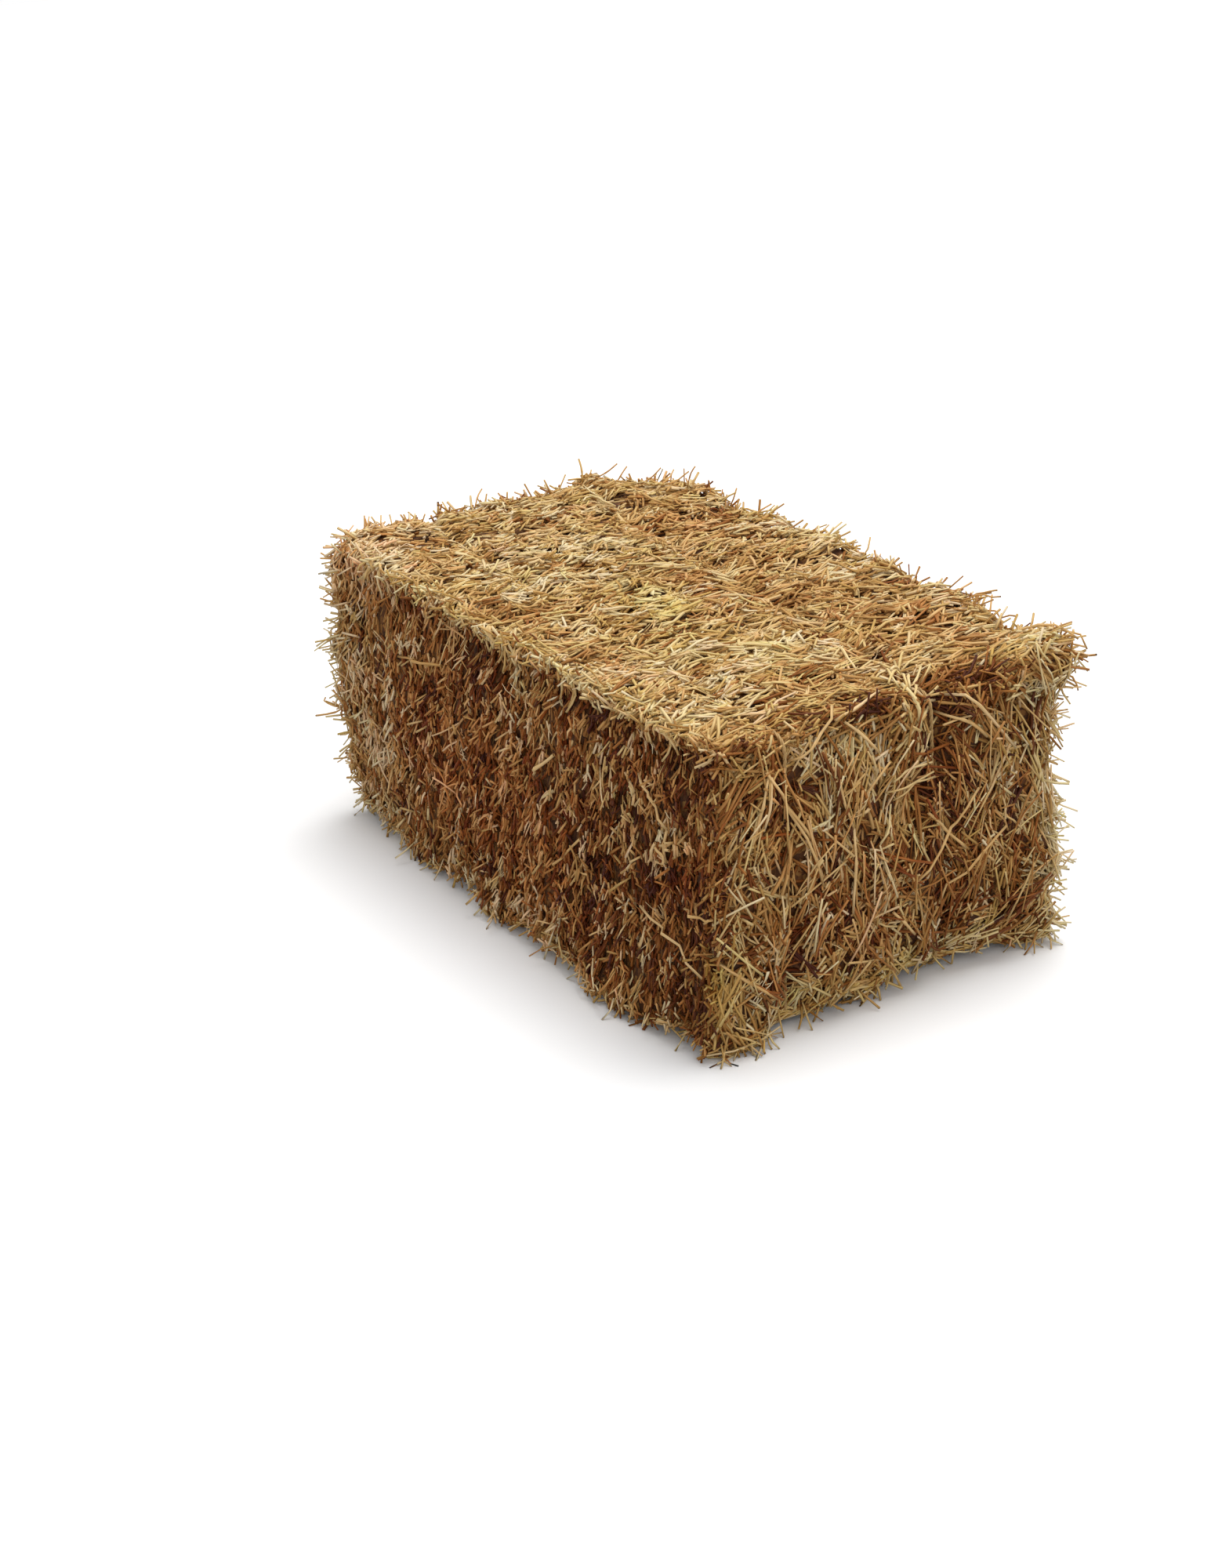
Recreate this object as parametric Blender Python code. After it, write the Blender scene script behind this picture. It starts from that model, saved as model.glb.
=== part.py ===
"""A small two-string straw bale, lying as the baler drops it.

The bale is a row of flakes: the slabs of pressed straw that the baler's plunger packs one after
another, and that fall apart when the strings are cut. Two loops of sisal twine hold the row
together. Each twine runs along the top, over one end, along the bottom and back up the other
end, sunk in a groove that it has pulled into the straw, and is closed by a knot on the far end.

Frame: X along the bale, from the far end to the near end, Y across it, Z up. The origin is on
the ground under the middle flake. Metres.
"""

import math
import random
from typing import NamedTuple

import bmesh
import bpy
from mathutils import Vector, noise

# The pressed block, without the locks of straw that stand out of it.
LENGTH = 0.776
WIDTH = 0.486
HEIGHT = 0.363
EDGE_ROUND = 0.026
HALF_LENGTH = LENGTH / 2
HALF_WIDTH = WIDTH / 2
HALF_HEIGHT = HEIGHT / 2

# The flakes, and the step down that shows as a seam between two of them.
FLAKES = 13
THICKNESS_SPREAD = 0.16
FACE_GAP = 0.0004
SEAM_WIDTH = 0.008
SEAM_DEPTH = 0.006
FLAKE_SHIFT = 0.004
UNEVENNESS = 0.0035
UNEVENNESS_GRAIN = 0.045

# The number of faces across a flake and up it, between its round edges.
CUT_STEPS = (10, 8)
END_CUT_STEPS = (13, 11)

# Locks of straw that stand out of the faces: short broad tufts, and some long thin sprigs.
TUFT_SHARE = 0.62
TUFT_REACH = (0.007, 0.016)
SPRIG_SHARE = 0.09
SPRIG_REACH = (0.018, 0.030)
SPRIG_INSET = 0.36
TOP_LEAN = 0.8
SIDE_DROOP = 0.3
END_LEAN = 0.7
LEAN_SPREAD = 0.45
LOCK_CLEARANCE = 0.003
TWINE_CLEARANCE = 0.030
SMALLEST_FACE = 1.5e-4

# The two twines, and where each crosses the edges of the block, across the bale.
TWINE_DIAMETER = 0.004
TWINE_SIDES = 6
TWINE_BEND = 0.022
TWINE_BEND_STEPS = 3
TWINE_STEP = 0.09
TWINE_SUNK = 0.009
NEAR_FOOT_DRAWN = 0.018
TWINE_ROUTES = {
    "twine_left": {"near_top": -0.150, "near_foot": -0.124, "far": -0.112},
    "twine_right": {"near_top": 0.048, "near_foot": 0.092, "far": 0.104},
}
TWINE_PULL = 0.012
GROOVE_UNDER = 0.0035
GROOVE_FLOOR_WIDTH = 0.008
GROOVE_MOUTH_WIDTH = 0.020
GROOVE_REACH = 0.075
GROOVE_TURN = 0.035
KNOT_HEIGHT = 0.215
KNOT_SIZE = (0.0065, 0.0075, 0.0100)
KNOT_TAIL = 0.030
KNOT_TAIL_LEANS = ((-0.45, -0.54), (0.35, 0.42))
KNOT_TAIL_TAPER = 0.6
POCKET_SIZE = (0.040, 0.015, 0.017)
POCKET_SHIFT = 0.030

SEED = 31
NUMBERING = Vector((0.23, 1.00, 0.57))
STRAW = {"name": "straw", "color": (0.56, 0.37, 0.16), "roughness": 0.75}
SISAL = {"name": "sisal_twine", "color": (0.63, 0.47, 0.27), "roughness": 0.85}


class Swelling(NamedTuple):
    """A stretch of the block that is pushed out or drawn in, most at its centre."""

    push: tuple[float, float, float]
    centre: tuple[float, float, float]
    spread: tuple[float, float, float]


ALL_ALONG = 10.0
SWELLINGS = [
    # The left foot spreads on the ground, and is drawn in at the far end.
    Swelling((0, -0.024, 0), (0.18, -HALF_WIDTH, 0), (0.20, 0.08, 0.10)),
    Swelling((0, 0.012, 0), (-HALF_LENGTH, -HALF_WIDTH, 0), (0.14, 0.08, 0.14)),
    # The right foot spreads at the near end.
    Swelling((0, 0.010, 0), (HALF_LENGTH, HALF_WIDTH, 0), (0.12, 0.08, 0.10)),
    # Both sides belly out, and the top swells between its edges.
    Swelling((0, -0.005, 0), (0, -HALF_WIDTH, HALF_HEIGHT), (ALL_ALONG, 0.08, 0.13)),
    Swelling((0, 0.005, 0), (0, HALF_WIDTH, HALF_HEIGHT), (ALL_ALONG, 0.08, 0.13)),
    Swelling((0, 0, 0.005), (0, 0, HEIGHT), (ALL_ALONG, 0.16, 0.10)),
    # The top rises in a hump at the far right, and at the near right and far left corners.
    Swelling((0, 0, 0.016), (-0.320, 0.110, HEIGHT), (0.09, 0.10, 0.10)),
    Swelling((0, 0, 0.014), (HALF_LENGTH, HALF_WIDTH, HEIGHT), (0.09, 0.09, 0.10)),
    Swelling((0, 0, 0.012), (-HALF_LENGTH, -HALF_WIDTH, HEIGHT), (0.10, 0.12, 0.10)),
    # Both ends dome outwards, and the near end draws back at its foot.
    Swelling((0.010, 0, 0), (HALF_LENGTH, 0, HALF_HEIGHT), (0.035, 0.16, 0.12)),
    Swelling((-0.010, 0, 0), (-HALF_LENGTH, 0, HALF_HEIGHT), (0.035, 0.16, 0.12)),
    Swelling((-0.014, 0, 0), (HALF_LENGTH, 0.06, 0), (0.035, 0.13, 0.065)),
]
for route in TWINE_ROUTES.values():
    # Each twine pulls in the four edges that it bends over.
    for end, top_y, foot_y in ((1, "near_top", "near_foot"), (-1, "far", "far")):
        drawn = -TWINE_PULL * end
        top_edge = (HALF_LENGTH * end, route[top_y], HEIGHT)
        foot_edge = (HALF_LENGTH * end, route[foot_y], 0)
        SWELLINGS.append(Swelling((drawn, 0, -TWINE_PULL), top_edge, (0.03, 0.03, 0.06)))
        SWELLINGS.append(Swelling((drawn, 0, 0), foot_edge, (0.03, 0.03, 0.05)))


def clear_scene():
    """Remove the startup scene's objects."""
    for obj in list(bpy.data.objects):
        bpy.data.objects.remove(obj)


def finish(name, color, roughness):
    """A plain Principled material."""
    material = bpy.data.materials.new(name)
    material.use_nodes = True
    shader = material.node_tree.nodes["Principled BSDF"]
    shader.inputs["Base Color"].default_value = (*color, 1)
    shader.inputs["Roughness"].default_value = roughness
    return material


def object_from(name, mesh, material, parent, smooth=False):
    """A named object that owns the bmesh's shape."""
    data = bpy.data.meshes.new(name)
    mesh.to_mesh(data)
    mesh.free()
    if smooth:
        data.shade_smooth()
        data.set_sharp_from_angle(angle=math.radians(50))
    if material:
        data.materials.append(material)
    obj = bpy.data.objects.new(name, data)
    obj.parent = parent
    bpy.context.scene.collection.objects.link(obj)
    return obj


def cutter(name, mesh, parent):
    """A helper that only shapes its neighbours: it is not part of the bale."""
    obj = object_from(name, mesh, None, parent)
    obj.hide_render = True
    obj.display_type = "WIRE"
    return obj


def add_boolean(obj, other, operation):
    """An exact Boolean of obj with other."""
    modifier = obj.modifiers.new(f"{operation.lower()}_{other.name}", "BOOLEAN")
    modifier.operation = operation
    modifier.solver = "EXACT"
    modifier.object = other


def clamp(value, low, high):
    """The value, kept between low and high."""
    return min(max(value, low), high)


def mix(start, end, share):
    """The value at a share of the way from start to end."""
    return start + (end - start) * share


def to_grid(value):
    """The value to the nearest tenth of a millimetre, so that every cut lies at an exact place."""
    return round(value, 4)


# The form of the block.


def rounded(point):
    """A point of the sharp box, moved to the box with round edges."""
    inner = Vector(
        (
            clamp(point.x, EDGE_ROUND - HALF_LENGTH, HALF_LENGTH - EDGE_ROUND),
            clamp(point.y, EDGE_ROUND - HALF_WIDTH, HALF_WIDTH - EDGE_ROUND),
            clamp(point.z, EDGE_ROUND, HEIGHT - EDGE_ROUND),
        )
    )
    away = point - inner
    return inner + away.normalized() * min(away.length, EDGE_ROUND)


def swollen(point):
    """A point of the rounded box, moved by every swelling."""
    moved = point.copy()
    for push, centre, spread in SWELLINGS:
        distance = sum(((point[k] - centre[k]) / spread[k]) ** 2 for k in range(3))
        moved += Vector(push) * math.exp(-distance)
    return moved


def pressed(point, in_plane, shift):
    """Where a point of the sharp box lies on the bale.

    A point on a flake's hidden face keeps its X, and a point of the foot stays on the ground.
    The shift is how far the flake has slipped across and up among its neighbours.
    """
    at = rounded(point)
    on_ground = at.z < 1e-6
    at = swollen(at)
    at += noise.noise_vector(at / UNEVENNESS_GRAIN) * UNEVENNESS
    at += shift * clamp(at.z / HALF_HEIGHT, 0, 1)
    if in_plane:
        at.x = point.x
    at.z = 0 if on_ground else max(at.z, 0)
    return at


# The locks of straw.


def twine_place(route, point, side):
    """Where across the bale a twine passes a point on the given side of the block."""
    if side == "top":
        return mix(route["far"], route["near_top"], point.x / LENGTH + 0.5)
    if side == "near_end":
        return mix(route["near_foot"], route["near_top"], point.z / HEIGHT)
    return route["far"]


def side_of_block(normal):
    """The side of the block that a face with this normal belongs to."""
    if abs(normal.x) > 0.6:
        return "near_end" if normal.x > 0 else "far_end"
    if normal.z > 0.6:
        return "top"
    return "foot" if normal.z < -0.4 else "cut_side"


def can_grow(face, far):
    """True for an outer face that is clear of the ground, the seam and the twines."""
    side = side_of_block(face.normal)
    middle = face.calc_center_median()
    if side == "foot" or face.calc_area() < SMALLEST_FACE:
        return False
    if side in ("near_end", "far_end"):
        if abs(middle.x) < HALF_LENGTH - EDGE_ROUND:
            return False
    elif middle.x - far < SEAM_WIDTH:
        return False
    if side == "cut_side":
        return True
    gaps = [abs(middle.y - twine_place(route, middle, side)) for route in TWINE_ROUTES.values()]
    return min(gaps) > TWINE_CLEARANCE


def lie_of_straw(side, point, rng):
    """The way a lock leans: across the top, down the cut sides, and any way on the ends."""
    if side == "top":
        lean = Vector((0, math.copysign(TOP_LEAN, point.y), 0))
    elif side == "cut_side":
        lean = Vector((0, 0, -SIDE_DROOP))
    else:
        turn = rng.uniform(0, math.tau)
        lean = Vector((0, math.cos(turn), math.sin(turn))) * END_LEAN
    return lean + Vector([rng.uniform(-LEAN_SPREAD, LEAN_SPREAD) for _ in range(3)])


def grow_lock(mesh, face, far, near, rng):
    """Draw a face out into a pointed lock, which stays between the flake's two hidden faces."""
    side = side_of_block(face.normal)
    aim = face.normal + lie_of_straw(side, face.calc_center_median(), rng)
    reach = rng.uniform(*TUFT_REACH)
    if rng.random() < SPRIG_SHARE / (SPRIG_SHARE + TUFT_SHARE):
        reach = rng.uniform(*SPRIG_REACH)
        inset = min(edge.calc_length() for edge in face.edges) * SPRIG_INSET
        bmesh.ops.inset_individual(mesh, faces=[face], thickness=inset)
    tip = bmesh.ops.poke(mesh, faces=[face])["verts"][0]
    tip.co += aim.normalized() * reach
    tip.co.z = max(tip.co.z, LOCK_CLEARANCE)
    if side in ("top", "cut_side"):
        tip.co.x = clamp(tip.co.x, far + LOCK_CLEARANCE, near - LOCK_CLEARANCE)


def put_in_order(mesh):
    """Number the points and faces by their place, so that the bale comes out the same each time."""
    mesh.verts.sort(key=lambda vert: vert.co.dot(NUMBERING))
    mesh.faces.sort(key=lambda face: face.calc_center_median().dot(NUMBERING))
    mesh.verts.index_update()
    mesh.faces.index_update()


# The flakes.


def flake_edges(rng):
    """The X of each boundary between flakes, from the far end to the near end."""
    shares = [1 + rng.uniform(-THICKNESS_SPREAD, THICKNESS_SPREAD) for _ in range(FLAKES)]
    # The same shares from both ends keep the middle flake over the origin.
    shares = [(a + b) / 2 for a, b in zip(shares, reversed(shares))]
    edges = [-HALF_LENGTH]
    for share in shares:
        edges.append(edges[-1] + LENGTH * share / sum(shares))
    return [to_grid(edge) for edge in edges]


def cut_places(low, high, steps):
    """Places to cut a side of the block: where its round edges end, and evenly between."""
    start, end = low + EDGE_ROUND, high - EDGE_ROUND
    return [to_grid(mix(start, end, step / steps)) for step in range(steps + 1)]


def sliced_box(low, high, cuts):
    """A box in a bmesh, sliced across each axis at the given places."""
    mesh = bmesh.new()
    bmesh.ops.create_cube(mesh, size=1)
    for vert in mesh.verts:
        vert.co = [low[k] if vert.co[k] < 0 else high[k] for k in range(3)]
    for axis, places in enumerate(cuts):
        normal = [int(axis == k) for k in range(3)]
        for place in places:
            bmesh.ops.bisect_plane(
                mesh,
                geom=[*mesh.verts, *mesh.edges, *mesh.faces],
                dist=1e-6,
                plane_co=[place * n for n in normal],
                plane_no=normal,
            )
    for vert in mesh.verts:
        vert.co = [to_grid(value) for value in vert.co]
    return mesh


def merge_plane(mesh, axis, place):
    """Make one face of all that lie in a plane across the axis."""
    flat = [f for f in mesh.faces if all(abs(v.co[axis] - place) < 1e-6 for v in f.verts)]
    bmesh.ops.dissolve_faces(mesh, faces=flat, use_verts=False)
    for vert in [v for v in mesh.verts if not v.link_faces]:
        mesh.verts.remove(vert)


def flake_mesh(index, edges, rng):
    """One slab of pressed straw, with the locks that stand out of it."""
    first, last = index == 0, index == FLAKES - 1
    far = edges[index] + (0 if first else FACE_GAP / 2)
    near = edges[index + 1] - (0 if last else FACE_GAP / 2)
    steps_y, steps_z = END_CUT_STEPS if first or last else CUT_STEPS
    x_cuts = [far + EDGE_ROUND if first else far + SEAM_WIDTH, (far + near) / 2]
    if last:
        x_cuts.append(near - EDGE_ROUND)
    y_cuts = cut_places(-HALF_WIDTH, HALF_WIDTH, steps_y)
    z_cuts = cut_places(0, HEIGHT, steps_z)
    mesh = sliced_box(
        (far, -HALF_WIDTH, 0),
        (near, HALF_WIDTH, HEIGHT),
        ([to_grid(cut) for cut in x_cuts], y_cuts, z_cuts),
    )
    hidden = [place for place, shown in ((far, first), (near, last)) if not shown]
    for place in hidden:
        merge_plane(mesh, 0, place)

    shift = Vector([0, *(rng.uniform(-FLAKE_SHIFT, FLAKE_SHIFT) for _ in "yz")])
    for vert in mesh.verts:
        sharp = vert.co.copy()
        in_plane = any(abs(sharp.x - place) < 1e-6 for place in hidden)
        vert.co = pressed(sharp, in_plane or not (first or last), shift)
        if not first and abs(sharp.x - far) < 1e-6:
            # The far rim steps down all round, but not on the ground.
            if abs(sharp.y) > HALF_WIDTH - EDGE_ROUND:
                vert.co.y -= math.copysign(SEAM_DEPTH, sharp.y)
            if sharp.z > HEIGHT - EDGE_ROUND:
                vert.co.z -= SEAM_DEPTH
    merge_plane(mesh, 2, 0)

    put_in_order(mesh)
    mesh.normal_update()
    for face in [f for f in mesh.faces if can_grow(f, far)]:
        if rng.random() < TUFT_SHARE + SPRIG_SHARE:
            grow_lock(mesh, face, far, near, rng)
    bmesh.ops.triangulate(mesh, faces=mesh.faces)
    bmesh.ops.recalc_face_normals(mesh, faces=mesh.faces)
    return mesh


# The twines.


def twine_corners(route):
    """The four places where a twine turns over an edge of the block, in the order that it runs."""
    far_x = TWINE_SUNK - HALF_LENGTH
    near_x = HALF_LENGTH - TWINE_SUNK
    top_z = HEIGHT - TWINE_SUNK
    foot_z = TWINE_SUNK / 2
    return [
        Vector((far_x, route["far"], top_z)),
        Vector((near_x, route["near_top"], top_z)),
        Vector((near_x - NEAR_FOOT_DRAWN, route["near_foot"], foot_z)),
        Vector((far_x, route["far"], foot_z)),
    ]


def twine_path(route):
    """The twine's centre line: straight runs, joined by a round bend at each edge of the block."""
    corners = twine_corners(route)
    path = []
    for before, corner, after in zip(corners[-1:] + corners, corners, corners[1:] + corners[:1]):
        start = corner + (before - corner).normalized() * TWINE_BEND
        end = corner + (after - corner).normalized() * TWINE_BEND
        for step in range(TWINE_BEND_STEPS + 1):
            share = step / TWINE_BEND_STEPS
            path.append(start.lerp(corner, share).lerp(corner.lerp(end, share), share))
        next_bend = after - (after - corner).normalized() * TWINE_BEND
        steps = max(1, round((next_bend - end).length / TWINE_STEP))
        path += [end.lerp(next_bend, step / steps) for step in range(1, steps)]
    return path


def out_of_block(point):
    """The direction out of the block from a point of a twine, in the plane that the twine runs in."""
    out_x = max(0, abs(point.x) - HALF_LENGTH + GROOVE_TURN)
    out_z = max(0, abs(point.z - HALF_HEIGHT) - HALF_HEIGHT + GROOVE_TURN)
    out = Vector((math.copysign(out_x, point.x), 0, math.copysign(out_z, point.z - HALF_HEIGHT)))
    return out.normalized()


def twine_section(point, along):
    """The twine's round section, square to its run."""
    side = Vector((0, 1, 0))
    side = (side - along * side.dot(along)).normalized()
    up = along.cross(side)
    turns = [math.tau * k / TWINE_SIDES for k in range(TWINE_SIDES)]
    return [point + (side * math.cos(t) + up * math.sin(t)) * TWINE_DIAMETER / 2 for t in turns]


def groove_section(point, _along):
    """The groove that a twine pulls into the straw: narrow under the twine, and wide at its mouth."""
    out = out_of_block(point)
    floor = point - out * GROOVE_UNDER
    mouth = point + out * GROOVE_REACH
    half_floor = Vector((0, GROOVE_FLOOR_WIDTH / 2, 0))
    half_mouth = Vector((0, GROOVE_MOUTH_WIDTH / 2, 0))
    return [floor - half_floor, floor + half_floor, mouth + half_mouth, mouth - half_mouth]


def ring_sweep(path, section):
    """A closed ring: the section at each point of a closed path, joined to the next."""
    mesh = bmesh.new()
    rings = []
    for before, point, after in zip(path[-1:] + path, path, path[1:] + path[:1]):
        along = (after - before).normalized()
        rings.append([mesh.verts.new(corner) for corner in section(point, along)])
    for ring, following in zip(rings, rings[1:] + rings[:1]):
        for k, corner in enumerate(ring):
            mesh.faces.new((ring[k - 1], corner, following[k], following[k - 1]))
    bmesh.ops.recalc_face_normals(mesh, faces=mesh.faces)
    return mesh


def ellipsoid(centre, size):
    """A faceted ellipsoid with the given half sizes."""
    mesh = bmesh.new()
    bmesh.ops.create_icosphere(mesh, subdivisions=2, radius=1)
    for vert in mesh.verts:
        vert.co = centre + vert.co * Vector(size)
    return mesh


def knot_place(route):
    """Where the knot sits on the twine's run down the far end."""
    corners = twine_corners(route)
    top, foot = corners[0], corners[3]
    place = foot.lerp(top, (KNOT_HEIGHT - foot.z) / (top.z - foot.z))
    place.x -= KNOT_SIZE[0] / 2
    return place


def knot_mesh(place):
    """The knot's lump, with the two cut tails of twine drawn out of it."""
    mesh = ellipsoid(place, KNOT_SIZE)
    for lean in KNOT_TAIL_LEANS:
        aim = Vector((-1, *lean)).normalized()
        root = max(mesh.faces, key=lambda face: (face.calc_center_median() - place).dot(aim))
        tail = bmesh.ops.extrude_discrete_faces(mesh, faces=[root])["faces"][0]
        middle = tail.calc_center_median()
        for vert in tail.verts:
            vert.co = place + aim * KNOT_TAIL + (vert.co - middle) * KNOT_TAIL_TAPER
    bmesh.ops.recalc_face_normals(mesh, faces=mesh.faces)
    return mesh


def build_twine(name, route, material, bale):
    """One loop of twine with its knot. Returns the cutters of its groove and of the knot's pocket."""
    twine = object_from(name, ring_sweep(twine_path(route), twine_section), material, bale, smooth=True)
    knot_at = knot_place(route)
    add_boolean(twine, cutter(f"{name}_knot", knot_mesh(knot_at), bale), "UNION")
    groove = cutter(f"{name}_groove", ring_sweep(twine_path(route), groove_section), bale)
    pocket_at = knot_at - Vector((POCKET_SHIFT, 0, 0))
    pocket = cutter(f"{name}_pocket", ellipsoid(pocket_at, POCKET_SIZE), bale)
    return groove, pocket


def main():
    clear_scene()
    noise.seed_set(SEED)
    rng = random.Random(SEED)
    straw = finish(**STRAW)
    sisal = finish(**SISAL)
    bale = bpy.data.objects.new("straw_bale", None)
    bpy.context.scene.collection.objects.link(bale)

    hollows = [build_twine(name, route, sisal, bale) for name, route in TWINE_ROUTES.items()]
    edges = flake_edges(rng)
    for index in range(FLAKES):
        flake = object_from(f"flake_{index + 1:02d}", flake_mesh(index, edges, rng), straw, bale)
        for groove, pocket in hollows:
            add_boolean(flake, groove, "DIFFERENCE")
            if index == 0:
                add_boolean(flake, pocket, "DIFFERENCE")


main()
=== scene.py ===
"""The looks of a small two-string straw bale.

The frame holds the bale as a row of flakes and two loops of twine. Here every flake is dressed
with its real surface: a dark pad of matted chaff, stalks that lie across the top and in a tangle
on the ends, cut stubs on both sides, and loose sprigs. The twines become laid sisal.
Lengths are metres unless a name says otherwise.
"""

import logging
import math
from collections.abc import Callable
from dataclasses import dataclass, field
from enum import Enum
from functools import partial

import bmesh
import bpy
import numpy as np
from bpy.types import Material, Mesh, Node, NodeSocket, NodeTree, Object
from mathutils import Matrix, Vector


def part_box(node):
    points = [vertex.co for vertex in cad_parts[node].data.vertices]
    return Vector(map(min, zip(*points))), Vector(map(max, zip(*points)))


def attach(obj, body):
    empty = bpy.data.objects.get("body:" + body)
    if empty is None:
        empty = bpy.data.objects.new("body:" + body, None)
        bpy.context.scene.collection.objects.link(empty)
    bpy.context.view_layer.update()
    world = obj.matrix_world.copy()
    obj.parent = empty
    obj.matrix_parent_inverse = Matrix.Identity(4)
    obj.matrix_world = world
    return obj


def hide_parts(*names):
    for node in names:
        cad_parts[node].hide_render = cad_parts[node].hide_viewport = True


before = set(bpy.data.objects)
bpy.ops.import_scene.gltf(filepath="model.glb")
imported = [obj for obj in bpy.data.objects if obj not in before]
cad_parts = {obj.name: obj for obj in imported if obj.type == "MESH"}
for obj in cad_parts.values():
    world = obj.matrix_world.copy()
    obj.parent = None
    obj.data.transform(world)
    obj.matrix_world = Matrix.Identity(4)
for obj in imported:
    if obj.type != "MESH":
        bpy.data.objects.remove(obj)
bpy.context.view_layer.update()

LOG = logging.getLogger("straw_bale")
Array = np.ndarray
Colour = tuple[float, float, float, float]
Pair = tuple[float, float]
Places = tuple[float, ...]
Triple = tuple[float, float, float]
MM = 1000
HUNDREDTHS = 100
TOUCHING = 1e-4


# ---- Small helpers ----


def hex_rgb(code: str) -> Colour:
    """Turn an sRGB hex colour into the linear colour that a shader takes.

    Args:
        code: six hex digits, such as "d9b679".

    Returns:
        Linear red, green and blue, and an alpha of 1.
    """
    values = [int(code[k : k + 2], 16) / 255 for k in (0, 2, 4)]
    linear = [v / 12.92 if v <= 0.04045 else ((v + 0.055) / 1.055) ** 2.4 for v in values]
    return (*linear, 1.0)


def add_node(tree: NodeTree, kind: str, settings: dict | None = None, inputs: dict | None = None) -> Node:
    """Add one shader node with its settings, values and links.

    Args:
        tree: the node tree that gets the node.
        kind: the node's type name, without the word that all of them start with.
        settings: attributes to set on the node.
        inputs: input socket, by name or number, to a value or to the output socket that feeds it.

    Returns:
        The new node.
    """
    node = tree.nodes.new("ShaderNode" + kind)
    for name, value in (settings or {}).items():
        setattr(node, name, value)
    for key, value in (inputs or {}).items():
        if isinstance(value, NodeSocket):
            tree.links.new(value, node.inputs[key])
        else:
            node.inputs[key].default_value = value
    return node


def set_ramp(node: Node, stops: tuple[tuple[float, str], ...]) -> None:
    """Set a colour ramp's stops.

    Args:
        node: the Color Ramp node.
        stops: places from 0 to 1 and their hex colours, in rising order.
    """
    elements = node.color_ramp.elements
    while len(elements) > 1:
        elements.remove(elements[-1])
    for k, (place, code) in enumerate(stops):
        element = elements[0] if k == 0 else elements.new(place)
        element.position = place
        element.color = hex_rgb(code)


def unit(vectors: Array) -> Array:
    """Scale each row of an array of vectors to length 1."""
    return vectors / np.maximum(np.linalg.norm(vectors, axis=-1, keepdims=True), 1e-9)


def turned(first: Array, second: Array, angle: Array) -> tuple[Array, Array]:
    """Turn two directions that are square to each other in their own plane, by an angle each."""
    cos, sin = np.cos(angle)[..., None], np.sin(angle)[..., None]
    return first * cos + second * sin, second * cos - first * sin


def deselect_all() -> None:
    """Leave edit mode and deselect every object, so that an operator acts only on what is new."""
    if bpy.context.object and bpy.context.object.mode != "OBJECT":
        bpy.ops.object.mode_set(mode="OBJECT")
    bpy.ops.object.select_all(action="DESELECT")


def add_primitive(operator: Callable, **settings: object) -> Object:
    """Add a primitive, apply its place, and go on in edit mode.

    Args:
        operator: the operator that adds it.
        settings: what the operator is given.

    Returns:
        The new object, in edit mode.
    """
    deselect_all()
    operator(**settings)
    bpy.ops.object.transform_apply(location=True, rotation=True, scale=True)
    bpy.ops.object.mode_set(mode="EDIT")
    return bpy.context.object


def cut_across(axis: int, place: float) -> None:
    """Cut all of the mesh in edit mode, square to an axis.

    Args:
        axis: the number of the axis.
        place: where on the axis to cut.
    """
    square = np.eye(3)[axis]
    bpy.ops.mesh.select_all(action="SELECT")
    bpy.ops.mesh.bisect(plane_co=tuple(square * place), plane_no=tuple(square))


def select_parts(obj: Object, chosen: str, test: Callable[[Vector], bool]) -> None:
    """In edit mode, select the vertices or faces whose middle passes a test.

    Args:
        obj: the object in edit mode.
        chosen: "VERT" or "FACE".
        test: a function from a place to True or False.
    """
    bpy.ops.mesh.select_mode(type=chosen)
    bpy.ops.mesh.select_all(action="DESELECT")
    cage = bmesh.from_edit_mesh(obj.data)
    for part in cage.verts if chosen == "VERT" else cage.faces:
        part.select_set(test(part.co if chosen == "VERT" else part.calc_center_median()))
    cage.select_flush_mode()
    bmesh.update_edit_mesh(obj.data)


def lies_at(x: float) -> Callable[[Vector], bool]:
    """A test of whether a place lies at an X."""
    return lambda place: abs(place.x - x) < TOUCHING


def mesh_arrays(mesh: Mesh) -> tuple[Array, Array, Array]:
    """Read a mesh into arrays.

    Args:
        mesh: the mesh.

    Returns:
        Its points, the points at its faces' corners, and how many corners each face has.
    """
    points = np.array([v.co for v in mesh.vertices])
    loops = np.array([i for p in mesh.polygons for i in p.vertices])
    return points, loops, np.array([p.loop_total for p in mesh.polygons])


# ---- The form of the pressed block, as the source of the solids has it ----


@dataclass(frozen=True)
class SoftPlace:
    """A place where something is most at its centre, and fades out round it."""

    amount: Array
    centre: Array
    spread: Array

    def share(self, points: Array) -> Array:
        """How much of the amount each point gets, from 0 to 1."""
        return np.exp(-(((points - self.centre) / self.spread) ** 2).sum(1))


def soft_places(rows: list[Places], amount_unit: float, length_unit: float) -> list[SoftPlace]:
    """Read soft places from rows of numbers: the amount, then the centre, then the spread.

    Args:
        rows: the rows, each with three numbers for the centre and three for the spread.
        amount_unit: how many of the unit of the amounts make one.
        length_unit: how many of the unit of the places make a metre.

    Returns:
        The soft places.
    """
    table = np.array(rows)
    amounts, places = table[:, :-6] / amount_unit, table[:, -6:] / length_unit
    return [SoftPlace(amount, place[:3], place[3:]) for amount, place in zip(amounts, places)]


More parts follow.
